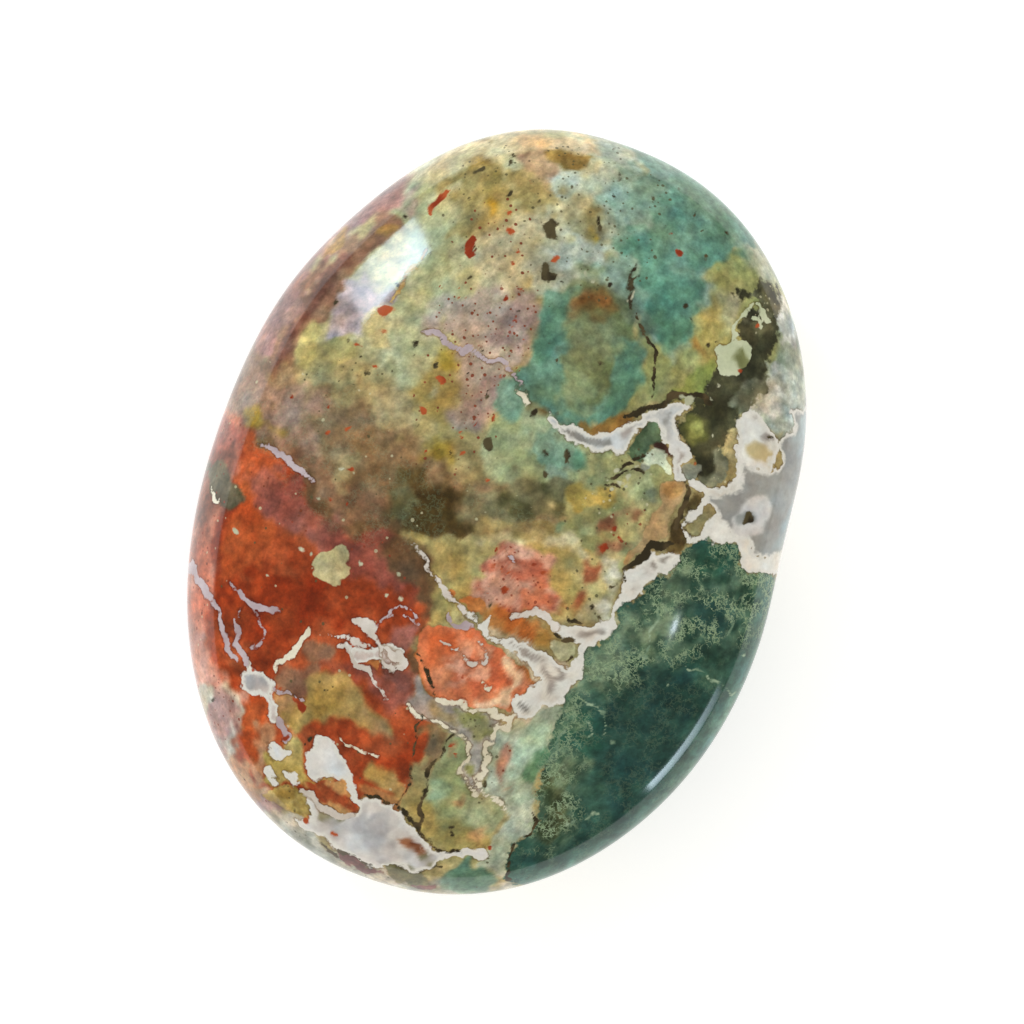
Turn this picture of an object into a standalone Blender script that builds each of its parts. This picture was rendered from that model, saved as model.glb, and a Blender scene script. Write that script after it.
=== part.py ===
"""A polished palm stone of unicorn jasper: one solid oval pebble, domed on both faces.

Units are metres and +Z is up. The stone lies on the small flat spot under its lower dome,
whose middle is the origin's height. +Y runs along its length, towards the pale end, and +X
across it, towards the side that holds the dark green moss jasper.
"""

import math

import bmesh
import bpy

MM = 0.001

HALF_LENGTH = 33.0 * MM
HALF_WIDTH = 24.8 * MM
# Above 2 the oval is fuller at its corners than an ellipse
OUTLINE_POWER = 2.15
# Where hand grinding left the rim flatter or fuller: bearing from +X in degrees, spread, depth
RIM_MARKS = (
    (15.0, 12.0, -0.80 * MM),
    (64.0, 15.0, 0.10 * MM),
    (103.0, 7.0, 0.15 * MM),
    (133.0, 11.0, -0.50 * MM),
    (225.0, 20.0, 0.10 * MM),
    (328.0, 17.0, 0.40 * MM),
)
# A mark's depth falls as this power of the distance from the middle, as a share of the rim's
MARK_FADE = 4.0

THICKNESS = 22.0 * MM
# The widest line of the rim: its mean height, and how far it rises to +X and falls to -X
GIRDLE_HEIGHT = 11.6 * MM
GIRDLE_TILT = 1.8 * MM
# Above 2 the domes are flatter on top and rounder at the rim than an ellipse
DOME_POWER = 2.12
# The flat spot is the outline shrunk to this share of its size
FLAT_SHARE = 0.20

STEPS_AROUND = 96
UPPER_RINGS = 19
LOWER_RINGS = 17

JASPER_COLOUR = (0.36, 0.30, 0.21, 1.0)
POLISHED_ROUGHNESS = 0.12


def ring_radius(bearing, reach):
    """Distance from the middle to the ring at this share of the outline, which is 1 at the rim.

    The outline is a superellipse. Each grinding mark adds a bell curve to it, and fades out
    quickly inwards from the rim.
    """
    across = abs(math.cos(bearing)) / HALF_WIDTH
    along = abs(math.sin(bearing)) / HALF_LENGTH
    radius = reach * (across**OUTLINE_POWER + along**OUTLINE_POWER) ** (-1.0 / OUTLINE_POWER)
    for centre, spread, depth in RIM_MARKS:
        turn = (math.degrees(bearing) - centre + 180.0) % 360.0 - 180.0
        radius += depth * reach**MARK_FADE * math.exp(-0.5 * (turn / spread) ** 2)
    return radius


def girdle_height(bearing):
    """Height of the rim's widest line, which tilts gently across the stone."""
    return GIRDLE_HEIGHT + GIRDLE_TILT * math.cos(bearing)


def upper_ring(lift):
    """Points of the upper dome at lift, an angle from the girdle (0) to the crown (90 degrees)."""
    reach = math.cos(lift) ** (2.0 / DOME_POWER)
    rise = math.sin(lift) ** (2.0 / DOME_POWER)

    def height(bearing):
        low = girdle_height(bearing)
        return low + (THICKNESS - low) * rise

    return ring_points(reach, height)


def lower_ring(drop):
    """Points of the lower dome at drop, an angle from the girdle (0) to the flat spot (90 degrees)."""
    reach = FLAT_SHARE + (1.0 - FLAT_SHARE) * math.cos(drop) ** (2.0 / DOME_POWER)
    fall = math.sin(drop) ** (2.0 / DOME_POWER)

    def height(bearing):
        return girdle_height(bearing) * (1.0 - fall)

    return ring_points(reach, height)


def ring_points(reach, height):
    """One closed ring: the outline at this share of its size, each point at its own height."""
    points = []
    for step in range(STEPS_AROUND):
        bearing = 2.0 * math.pi * step / STEPS_AROUND
        radius = ring_radius(bearing, reach)
        points.append((radius * math.cos(bearing), radius * math.sin(bearing), height(bearing)))
    return points


def stone_mesh():
    """Rings from the flat spot up to the crown, bridged, with the flat spot filled by one face."""
    right_angle = math.pi / 2.0
    rings = [lower_ring(right_angle * i / LOWER_RINGS) for i in range(LOWER_RINGS, 0, -1)]
    rings += [upper_ring(right_angle * i / UPPER_RINGS) for i in range(UPPER_RINGS)]

    shape = bmesh.new()
    loops = [[shape.verts.new(point) for point in ring] for ring in rings]
    for lower, upper in zip(loops, loops[1:]):
        for step in range(STEPS_AROUND):
            after = (step + 1) % STEPS_AROUND
            shape.faces.new((lower[step], lower[after], upper[after], upper[step]))

    flat_spot = shape.faces.new(tuple(reversed(loops[0])))
    bmesh.ops.poke(shape, faces=[flat_spot])
    crown = shape.verts.new((0.0, 0.0, THICKNESS))
    for step in range(STEPS_AROUND):
        after = (step + 1) % STEPS_AROUND
        shape.faces.new((loops[-1][step], loops[-1][after], crown))

    bmesh.ops.triangulate(shape, faces=shape.faces[:])
    bmesh.ops.recalc_face_normals(shape, faces=shape.faces[:])
    mesh = bpy.data.meshes.new("jasper_stone")
    shape.to_mesh(mesh)
    shape.free()
    mesh.shade_smooth()
    mesh.set_sharp_from_angle(angle=math.radians(30.0))
    return mesh


def jasper_material():
    material = bpy.data.materials.new("polished_jasper")
    material.use_nodes = True
    shader = material.node_tree.nodes["Principled BSDF"]
    shader.inputs["Base Color"].default_value = JASPER_COLOUR
    shader.inputs["Roughness"].default_value = POLISHED_ROUGHNESS
    shader.inputs["Metallic"].default_value = 0.0
    return material


def build():
    for old in list(bpy.data.objects):
        bpy.data.objects.remove(old, do_unlink=True)
    stone = bpy.data.objects.new("jasper_stone", stone_mesh())
    stone.data.materials.append(jasper_material())
    bpy.context.scene.collection.objects.link(stone)


build()
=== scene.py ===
import itertools
import math

import bpy
import numpy as np
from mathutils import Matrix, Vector


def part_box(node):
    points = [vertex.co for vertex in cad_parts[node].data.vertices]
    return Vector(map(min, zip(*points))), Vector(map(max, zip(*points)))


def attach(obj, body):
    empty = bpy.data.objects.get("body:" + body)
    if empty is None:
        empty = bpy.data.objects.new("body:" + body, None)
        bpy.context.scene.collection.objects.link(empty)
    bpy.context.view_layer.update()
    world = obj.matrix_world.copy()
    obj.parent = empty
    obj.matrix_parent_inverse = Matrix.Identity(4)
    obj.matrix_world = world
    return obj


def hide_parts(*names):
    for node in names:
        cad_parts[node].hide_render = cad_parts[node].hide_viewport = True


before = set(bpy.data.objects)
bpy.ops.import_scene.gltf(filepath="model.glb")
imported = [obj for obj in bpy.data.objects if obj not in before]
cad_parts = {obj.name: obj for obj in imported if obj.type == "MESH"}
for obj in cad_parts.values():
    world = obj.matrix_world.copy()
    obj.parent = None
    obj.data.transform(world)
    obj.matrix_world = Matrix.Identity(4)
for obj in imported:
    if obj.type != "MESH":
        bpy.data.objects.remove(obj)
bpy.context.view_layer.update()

# The stone's skin. The pebble was ground to a domed oval on a wheel and polished all over, so
# its surface is one smooth closed skin: a fine grid over the show face, a coarser grid over the
# rest, and a strip that joins them just under the widest line of the rim. Lengths are in mm.

MM = 0.001
bottom_corner, top_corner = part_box("jasper_stone")
THICKNESS = (top_corner.z - bottom_corner.z) / MM
HALF_LENGTH = 33.0
HALF_WIDTH = 24.8
OUTLINE_POWER = 2.15
DOME_POWER = 2.12
# Where hand grinding left the rim flatter or fuller: bearing in degrees, spread, depth
RIM_MARKS = (
    (15.0, 12.0, -0.80), (64.0, 15.0, 0.10), (103.0, 7.0, 0.15),
    (133.0, 11.0, -0.50), (225.0, 20.0, 0.10), (328.0, 17.0, 0.40),
)
MARK_FADE = 4.0
GIRDLE_HEIGHT = 11.6
GIRDLE_TILT = 1.8
FLAT_SHARE = 0.20
SHOW_CELLS = 280
UNDER_CELLS = SHOW_CELLS // 2
TABLE_STEPS = 600
QUARTER_TURN = math.pi / 2.0


def ring_radius(bearing, reach):
    """Distance from the middle to the ring at this share of the outline: a superellipse, plus a
    bell curve for each grinding mark, which fades out quickly inwards from the rim."""
    across = np.abs(np.cos(bearing)) / HALF_WIDTH
    along = np.abs(np.sin(bearing)) / HALF_LENGTH
    radius = reach * (across**OUTLINE_POWER + along**OUTLINE_POWER) ** (-1.0 / OUTLINE_POWER)
    for centre, spread, depth in RIM_MARKS:
        turn = (np.degrees(bearing) - centre + 180.0) % 360.0 - 180.0
        radius = radius + depth * reach**MARK_FADE * np.exp(-0.5 * (turn / spread) ** 2)
    return radius


def square_grid(cells, edge):
    """The corner points of a square of cells, from -edge to edge both ways."""
    line = np.linspace(-edge, edge, cells + 1)
    across, along = np.meshgrid(line, line, indexing="ij")
    return across.ravel(), along.ravel()


def rounded_square(across, along):
    """Turns a square into an oval: a point's ring in the square gives how far out it is, from 0
    to 1, and its place along that ring gives its bearing, so that points stay evenly spread."""
    out = np.maximum(np.abs(across), np.abs(along))
    sideways = np.abs(across) >= np.abs(along)
    leading = np.where(sideways, across, along)
    leading = np.where(leading == 0.0, 1.0, leading)
    trailing = np.where(sideways, along, -across)
    turn = QUARTER_TURN / 2.0 * trailing / leading + np.where(sideways, 0.0, QUARTER_TURN)
    turn = turn + np.where(leading < 0.0, math.pi, 0.0)
    return out, np.arctan2(HALF_LENGTH * np.sin(turn), HALF_WIDTH * np.cos(turn))


def even_steps(out, reach, rise, height):
    """Reads a dome's reach and rise at each share out of the way along its curve from the middle
    to the girdle, so that the rings are as far apart on the steep rim as on the flat crown."""
    steps = np.hypot(np.diff(reach) * HALF_WIDTH, np.diff(rise) * height)
    way = np.concatenate(([0.0], np.cumsum(steps)))
    return np.interp(out, way / way[-1], reach), np.interp(out, way / way[-1], rise)


def show_face(across, along):
    """The upper dome: reach and rise follow a superellipse from the crown down to the girdle."""
    out, bearing = rounded_square(across, along)
    lift = np.linspace(QUARTER_TURN, 0.0, TABLE_STEPS)
    reach = np.cos(lift) ** (2.0 / DOME_POWER)
    reach, rise = even_steps(out, reach, np.sin(lift) ** (2.0 / DOME_POWER), THICKNESS - GIRDLE_HEIGHT)
    low = GIRDLE_HEIGHT + GIRDLE_TILT * np.cos(bearing)
    radius = ring_radius(bearing, reach)
    return radius * np.cos(bearing), radius * np.sin(bearing), low + (THICKNESS - low) * rise


def under_face(across, along):
    """The lower dome: from the middle of the flat spot out to its edge, and then up a superellipse
    to the girdle."""
    out, bearing = rounded_square(across, along)
    drop = np.linspace(QUARTER_TURN, 0.0, TABLE_STEPS)
    reach = FLAT_SHARE + (1.0 - FLAT_SHARE) * np.cos(drop) ** (2.0 / DOME_POWER)
    reach = np.concatenate(([0.0], reach))
    fall = np.concatenate(([1.0], np.sin(drop) ** (2.0 / DOME_POWER)))
    reach, fall = even_steps(out, reach, fall, GIRDLE_HEIGHT)
    radius = ring_radius(bearing, reach)
    girdle = GIRDLE_HEIGHT + GIRDLE_TILT * np.cos(bearing)
    return radius * np.cos(bearing), radius * np.sin(bearing), girdle * (1.0 - fall)


def grid_faces(cells):
    """Four corners of every cell, in turn, seen from above."""
    corner = np.arange(cells)[:, None] * (cells + 1) + np.arange(cells)
    corner = corner.ravel()
    return np.stack((corner, corner + cells + 1, corner + cells + 2, corner + 1), axis=1)


def grid_rim(cells):
    """The points along the grid's four sides, in turn, seen from above."""
    side = np.arange(cells)
    row = cells + 1
    return np.concatenate((side * row, cells * row + side, row * row - 1 - side * row, cells - side))


show_square = square_grid(SHOW_CELLS, 1.0)
under_square = square_grid(UNDER_CELLS, UNDER_CELLS / (UNDER_CELLS + 1.0))
skin = np.concatenate((np.stack(show_face(*show_square), 1), np.stack(under_face(*under_square), 1)))
first_under = len(show_square[0])

fine_rim = grid_rim(SHOW_CELLS)
coarse_rim = grid_rim(UNDER_CELLS) + first_under
coarse_next = np.roll(coarse_rim, -1)
fine_start, fine_middle = fine_rim[0::2], fine_rim[1::2]
fine_end = np.roll(fine_start, -1)
strip = np.concatenate((
    np.stack((coarse_rim, coarse_next, fine_middle), 1),
    np.stack((coarse_rim, fine_middle, fine_start), 1),
    np.stack((coarse_next, fine_end, fine_middle), 1),
))
show_faces = grid_faces(SHOW_CELLS)
under_faces = grid_faces(UNDER_CELLS)[:, ::-1] + first_under

mesh = bpy.data.meshes.new("jasper_pebble")
mesh.from_pydata((skin * MM).tolist(), [], show_faces.tolist() + under_faces.tolist() + strip.tolist())
mesh.shade_smooth()

# The map: the show face fills the upper two thirds of it, and the rest of the skin the lower third
MAP_EDGE = 0.004
SHOW_SHARE = 0.66
square_places = np.concatenate((np.stack(show_square, 1), np.stack(under_square, 1)))
corners = np.concatenate((show_faces.ravel(), under_faces.ravel(), strip.ravel()))
sideways, lengthways = square_places[corners].T
in_show = np.arange(len(corners)) < show_faces.size
map_low = np.where(in_show, 1.0 - SHOW_SHARE, 0.0) + MAP_EDGE
map_high = np.where(in_show, 1.0, 1.0 - SHOW_SHARE) - MAP_EDGE
map_up = map_low + (map_high - map_low) * (sideways + 1.0) / 2.0
map_across = 0.5 + (0.5 - MAP_EDGE) * lengthways
layer = mesh.uv_layers.new(name="OFBake")
layer.data.foreach_set("uv", np.stack((map_across, map_up), 1).ravel().astype(np.float32))

pebble = bpy.data.objects.new("jasper_pebble", mesh)
bpy.context.scene.collection.objects.link(pebble)
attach(pebble, "root")
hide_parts("jasper_stone")

# How the pattern is laid out. The stone is a rock cut through, so a zone or a vein is drawn once,
# on the plan of the show face, and runs on below the rim as a sheet that slants through the stone
# and wanders. Each mark is kept as its distance field in mm, below zero inside it.

DRAWN_ABOVE_GIRDLE = 2.2
EASE_IN = 2.5
WANDER = 2.6
WANDER_SIZE = 13.0
WANDER_DEPTH = 6.0
FAR = 6.0
CURVE_STEPS = 4
LATTICE = 48
NOISE_GAIN = 1.5
# Size, octaves and reach of the small shakes
SHAKES = ((1.4, 2, 0.22), (0.6, 1, 0.10))
SHAKE_SEEDS = (31, 41)
SHEET_SEED = 100
x, y, z = skin.T
sheet_level = GIRDLE_HEIGHT + GIRDLE_TILT * x / HALF_WIDTH + DRAWN_ABOVE_GIRDLE
below_sheet = np.maximum(sheet_level - z, 0.0)
depth = below_sheet**2 / (below_sheet + EASE_IN)
sheets = {}


def noise(seed, size, octaves=1):
    """Smooth noise, mostly from -1 to 1: random values on a lattice with this spacing in mm that
    ease into each other. Each further octave is half as large and half as strong."""
    total = np.zeros(len(skin))
    for octave in range(octaves):
        values = np.random.default_rng((seed, octave)).uniform(-1.0, 1.0, (LATTICE, LATTICE, LATTICE))
        place = skin / (size * 0.5**octave)
        cell = np.floor(place).astype(int)
        ease = place - cell
        ease = ease * ease * (3.0 - 2.0 * ease)
        for corner in itertools.product((0, 1), repeat=3):
            across, along, up = ((cell + corner) % LATTICE).T
            share = np.prod(np.where(corner, ease, 1.0 - ease), axis=1)
            total += share * values[across, along, up] * 0.5**octave
    return total * NOISE_GAIN


# Every drawn line trembles by the same small shakes, so that neighbours still meet
shaken_x, shaken_y = (
    line + sum(reach * noise(seed + octaves, size, octaves) for size, octaves, reach in SHAKES)
    for line, seed in zip((x, y), SHAKE_SEEDS)
)


def sheet(dip):
    """Where every point of the skin lies on the drawing: its own shaken x and y, slid by the dip
    for each mm of depth, and made to wander with depth."""
    if dip not in sheets:
        amount = WANDER * depth / (depth + WANDER_DEPTH)
        seed = SHEET_SEED + 2 * len(sheets)
        across = shaken_x + dip[0] * depth + amount * noise(seed, WANDER_SIZE, 2)
        along = shaken_y + dip[1] * depth + amount * noise(seed + 1, WANDER_SIZE, 2)
        sheets[dip] = (across, along)
    return sheets[dip]


def smooth_line(points, closed):
    """A curve through given points: between two neighbours, a cubic whose ends lean the way
    that the points on either side do."""
    points = np.array(points, float)
    if closed:
        before, after, last = np.roll(points, 1, 0), np.roll(points, -1, 0), np.roll(points, -2, 0)
    else:
        ends = np.concatenate((points[:1], points, points[-1:]))
        before, points, after, last = ends[:-3], ends[1:-2], ends[2:-1], ends[3:]
    t = (np.arange(CURVE_STEPS) / CURVE_STEPS)[:, None, None]
    curve = 2.0 * points + (after - before) * t
    curve = curve + (2.0 * before - 5.0 * points + 4.0 * after - last) * t**2
    curve = (curve + (3.0 * points - before - 3.0 * after + last) * t**3) / 2.0
    curve = curve.transpose(1, 0, 2).reshape(-1, points.shape[1])
    return curve if closed else np.concatenate((curve, after[-1:]))


def near(dip, low, high):
    """The drawing places that lie within reach of a box, and which points of the skin they are."""
    across, along = sheet(dip)
    close = (across > low[0] - FAR) & (across < high[0] + FAR)
    close &= (along > low[1] - FAR) & (along < high[1] + FAR)
    return close, across[close], along[close]


def to_segment(across, along, start, end):
    """Distance from each place to a straight piece of line, and how far along it the nearest is."""
    way = end[:2] - start[:2]
    share = ((across - start[0]) * way[0] + (along - start[1]) * way[1]) / max(way @ way, 1e-9)
    share = np.clip(share, 0.0, 1.0)
    return np.hypot(across - start[0] - share * way[0], along - start[1] - share * way[1]), share


def blob(dip, points):
    """Field of a closed outline: the distance to it, made negative where a line drawn to the side
    crosses it an odd number of times."""
    line = smooth_line(points, True)
    close, across, along = near(dip, line.min(0), line.max(0))
    field = np.full(len(skin), FAR)
    distance = np.full(len(across), FAR)
    inside = np.zeros(len(across), bool)
    for start, end in zip(line, np.roll(line, -1, 0)):
        distance = np.minimum(distance, to_segment(across, along, start, end)[0])
        spans = (start[1] > along) != (end[1] > along)
        slope = (end[0] - start[0]) / (end[1] - start[1] if end[1] != start[1] else 1.0)
        inside ^= spans & (across < start[0] + (along - start[1]) * slope)
    field[close] = np.where(inside, -distance, distance)
    return field


def vein(dip, points):
    """Field of a line whose third number is its width there: distance less half the width."""
    line = smooth_line(points, False)
    close, across, along = near(dip, line.min(0), line.max(0))
    field = np.full(len(skin), FAR)
    nearest = np.full(len(across), FAR)
    for start, end in zip(line, line[1:]):
        distance, share = to_segment(across, along, start, end)
        width = start[2] + (end[2] - start[2]) * share
        nearest = np.minimum(nearest, distance - width / 2.0)
    field[close] = nearest
    return field


def spots(dip, places):
    """Field of round spots, each given by its middle and radius: distance less the radius."""
    across, along = sheet(dip)
    field = np.full(len(skin), FAR)
    for middle_x, middle_y, radius in places:
        field = np.minimum(field, np.hypot(across - middle_x, along - middle_y) - radius)
    return field


def marks(dip, *parts):
    """One field for several marks: the least of their distances. A list of places is an outline, a
    list of places with widths is a vein, and one place with a radius is a round spot."""
    lines = [part for part in parts if isinstance(part, list)]
    fields = [blob(dip, line) if len(line[0]) == 2 else vein(dip, line) for line in lines]
    return np.minimum.reduce([spots(dip, [part for part in parts if isinstance(part, tuple)]), *fields])


def step(value, start, end):
    """A smooth step: 0 up to start, 1 from end on."""
    share = np.clip((value - start) / (end - start), 0.0, 1.0)
    return share * share * (3.0 - 2.0 * share)


# How colour is laid on. Zones with soft borders stain the ground. What has a sharp border is an
# inlay: it keeps its own tones and its distance field, so that the border is drawn as finely as
# the picture needs. Each has a light and a dark tone, in hundredths, that mingle as clouds.

SHARPEN = 0.85
FINE_FRAY = 0.5
# Seed, size and share of the grains and clouds that mottle a layer
MOTTLES = ((51, 0.45, 0.8), (52, 1.0, 0.7), (53, 2.6, 0.5))
WARMING = 0.4
broad_frays = [noise(seed, 2.1, 2) for seed in (11, 12, 13)]
fine_frays = [noise(seed, 0.7, 1) for seed in (14, 15, 16)]
broad_clouds = [step(noise(seed, 2.4, 4), -1.1, 1.1) for seed in (17, 18, 19)]
close_clouds = [step(noise(seed, 1.1, 3), -0.6, 0.6) for seed in (20, 21, 22)]
turns = itertools.cycle(range(3))
drawn = {}


def mingled(light, dark, close):
    """The light and the dark tone, mixed by noise."""
    light, dark = np.array((light, dark)) / 100.0
    clouds = close_clouds if close else broad_clouds
    return light + (dark - light) * clouds[next(turns)][:, None]


def mottled(layer, tint=(1.0, 1.0, 1.0), amount=0.11):
    """Deepens and lightens a layer's tones in grains and clouds of many sizes, and warms and cools
    them a little."""
    for seed, size, share in MOTTLES:
        layer[:, :3] *= 1.0 + amount * share * noise(seed, size, 2)[:, None] * np.array(tint)
    layer[:, :3] *= 1.0 + WARMING * amount * noise(55, 1.8, 3)[:, None] * np.array((1.0, 0.0, -1.0))


def blank():
    """A layer with nothing on it: a tone and a distance field for every point of the skin."""
    return np.column_stack((np.zeros((len(skin), 3)), np.full(len(skin), FAR)))


def stain(layer, field, light, dark, edge=0.3, ragged=0.3, strength=1.0, close=False):
    """Colours a layer where the field is under zero. edge is half the width of its fade and ragged
    is how far its border strays, in mm."""
    pick = next(turns)
    border = field + ragged * (broad_frays[pick] + FINE_FRAY * fine_frays[pick])
    share = strength * step(border, SHARPEN * edge, -SHARPEN * edge)[:, None]
    layer[:, :3] += share * (mingled(light, dark, close) - layer[:, :3])


def inlay(layer, field, light, dark, close=False):
    """Sets a mark into a layer. It takes over where it is nearer than the marks there so far."""
    nearer = field < layer[:, 3]
    layer[nearer, :3] = mingled(light, dark, close)[nearer]
    layer[nearer, 3] = field[nearer]


def lay(way, layer, dip, *rows):
    """Draws marks on one sheet and stains or inlays them, in turn. A row has a mark's name, its
    light and its dark tone, what else that way of laying takes, and the mark's parts."""
    for name, light, dark, finish, *parts in rows:
        drawn[name] = marks(dip, *parts)
        way(layer, drawn[name], light, dark, *finish)


grains = np.zeros((len(skin), 4))
DARK, PALE, RED, LACE = range(4)


def strew(kind, field, share, edge=0.8):
    """Sets how thickly one kind of fine grain lies inside a field, from 0 to 1."""
    grains[:, kind] = np.maximum(grains[:, kind], share * step(field, edge, -edge))


# The pale ground. Most of the stone is sandy to cream jasper, which was silt. It is greenish in
# places, mint towards the middle, and stained yellow and peach where iron seeped in.

PALE_DIP = (0.25, -0.5)
ground = blank()
ground[:, :3] = mingled((70, 64, 45), (61, 54, 35), False)
lay(stain, ground, PALE_DIP,
    ("cream", (80, 76, 60), (71, 67, 48), (1.8, 0.8), [(-27, 12), (-20, 9.5), (-17, 8), (-13, 7.5),
     (-9.5, 6.5), (-7, 9), (-8, 13), (-5, 19), (-2.5, 20.5), (0, 24), (0, 35), (-8, 36), (-20, 30),
     (-27, 20)]),
    ("green_cream", (74, 74, 58), (67, 67, 49), (1.3, 0.8), [(-15.2, 21.2), (-12.6, 21), (-10, 20.5),
     (-8.6, 18.6), (-9.6, 15), (-10.8, 12.6), (-13.2, 12), (-15.2, 13.4), (-14.6, 17)], [(-13.4, 12),
     (-10.4, 11.6), (-9.6, 8), (-11.8, 5.6), (-13.6, 7.2), (-14, 9.6)], [(-17.2, 23.8), (-14.8, 24.2),
     (-14, 21.6), (-16, 20.4), (-17.4, 21.4)]),
    ("bright_cream", (84, 79, 64), (78, 71, 53), (0.9, 0.7), [(-9.8, 23.6), (-8, 23.2), (-5.8, 24.6),
     (-4.9, 22.6), (-5.2, 19.6), (-6.5, 18.6), (-9, 18.8)], [(-18.6, 23), (-15.6, 24.6), (-13.6, 26),
     (-12.6, 28), (-13, 31), (-17, 29)], [(-11.4, 29), (-9.4, 29.4), (-8.2, 31), (-9, 34), (-13, 32)]),
    ("pale_mint", (75, 77, 69), (67, 70, 60), (0.9, 0.9), [(-4.6, 33.5), (-2.6, 30.4), (-4.8, 29.2),
     (-6.4, 27.2), (-4.6, 26.6), (-2, 27.6), (0.4, 27.4), (1.6, 34)], [(-5.2, 22.4), (-4.8, 19.6),
     (-3.6, 17.8), (-1, 18.6), (0.4, 20.6), (1.4, 22), (1.6, 25), (0.4, 26.6), (-1.6, 27.2), (-3.2, 25.4),
     (-2.6, 23.6)]),
    ("yellow_silt", (72, 62, 38), (61, 51, 27), (0.8, 1.0, 0.8), [(-9, 26.8), (-7.6, 27.8), (-6, 27.2),
     (-5, 26.2), (-5.6, 25), (-7, 24.2), (-8.8, 24.6)], [(-11, 23.4), (-9.4, 23.6), (-8.6, 22.6),
     (-9.4, 21.8), (-11.4, 21.4)], [(-9.6, 11.8), (-7.6, 12.6), (-6.4, 11), (-6, 8), (-6.6, 5.4),
     (-8.6, 5.6), (-9.8, 8)]),
    ("olive_shade", (60, 52, 32), (49, 41, 22), (0.55, 0.5, 0.9), [(-13.2, 26.2), (-12.3, 27.6),
     (-11.5, 28.6), (-10.6, 28.2), (-9.9, 27.2), (-9, 26.6), (-8.4, 25.6), (-9.2, 25), (-10.6, 25.4),
     (-12.4, 24.9), (-13.8, 24.1), (-13.9, 25.2)], [(-11.2, 23), (-9.8, 22.8), (-9.5, 21.6), (-10.6, 21.2),
     (-11.4, 21.9)], [(-2.2, 25.2), (-1.7, 26.4), (-0.9, 27), (-0.2, 26.7), (0.2, 25.8), (0, 25),
     (-0.6, 24.4), (-1.4, 24.6)]),
    ("peach_top", (88, 77, 60), (83, 70, 50), (0.5, 0.35), [(-9.6, 30.2), (-8.6, 31.2), (-6.6, 31.9),
     (-4, 32.2), (-2.6, 32), (-2.3, 31.3), (-4, 30.9), (-6, 30.3), (-7, 29.9), (-8.6, 29.4)]),
    ("pink_brown", (74, 61, 46), (66, 52, 40), (0.5, 0.4), [(-9.6, 28.9), (-8, 29.8), (-6.6, 29.9),
     (-5.2, 29.4), (-4.9, 28.6), (-5.6, 27.9), (-6.8, 28), (-8.4, 28.3)]),
    ("brown_top", (66, 53, 29), (54, 43, 22), (0.25, 0.3, 1.0, True), [(-6.7, 29.9), (-6.1, 30.4),
     (-5.2, 30.7), (-4.6, 31.1), (-2.9, 31.3), (-1.9, 31.1), (-2.6, 30.2), (-3.7, 29.7), (-4.7, 29),
     (-5.2, 29.4)]),
    ("brown_haze", (70, 65, 46), (55, 49, 31), (0.9, 0.8, 0.75, True), [(-2.6, 27.4), (-0.4, 27.4),
     (0.8, 25.8), (0.2, 23.8), (-1.6, 24), (-3, 25.4)], [(-11.8, 26.4), (-8.6, 26.6), (-8.2, 23.4),
     (-10, 22.2), (-11.6, 23.4)]),
    ("grey_teal", (60, 67, 58), (48, 58, 50), (1.1, 0.9, 0.85), [(-0.4, 30), (4, 31), (6.4, 28.4), (5, 24),
     (2, 22.4), (0.4, 23.6), (0.8, 26.8)]),
    ("gold_cloud", (68, 60, 38), (56, 48, 26), (1.1, 0.9, 0.8), [(-12.6, 26.8), (-10.4, 27.6), (-8.4, 26),
     (-8, 23.4), (-9.6, 21.8), (-12, 22.6), (-13, 24.6)]),
    ("sand_cloud", (70, 65, 52), (60, 55, 42), (1.3, 0.9, 0.6), [(-8.6, 23), (-5, 23.2), (-3.2, 21.4),
     (-3.8, 17.8), (-7, 17.4), (-8.8, 19.6)]),
    ("gold_spots", (78, 61, 18), (68, 49, 10), (0.5, 0.4, 0.9), (-9.4, 24.4, 0.6), (-11.4, 27.2, 0.4),
     (-0.4, 24.8, 0.45), (11.2, 18.8, 0.6)))
strew(DARK, marks(PALE_DIP, [(-13, 27), (-9, 30), (-2, 32), (4, 31), (5, 26), (4, 21), (0, 19), (-6, 18),
    (-12, 20)]), 0.42)
strew(RED, marks(PALE_DIP, [(-11, 24), (-7, 25), (-5, 22), (-4, 17), (-8, 15), (-11, 17)]), 0.35)
speckled_yellow = marks(PALE_DIP, [(-10.4, 12.4), (-5, 12), (-3, 8), (-3, 3), (-6, 1), (-9, 4)])
strew(RED, speckled_yellow, 0.4)
strew(DARK, speckled_yellow, 0.35)

# The teal jasper. Green-blue clay coloured these lobes at the far end: the main one reaches the
# rim, and a ring of it closes around an olive core near the middle.

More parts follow.
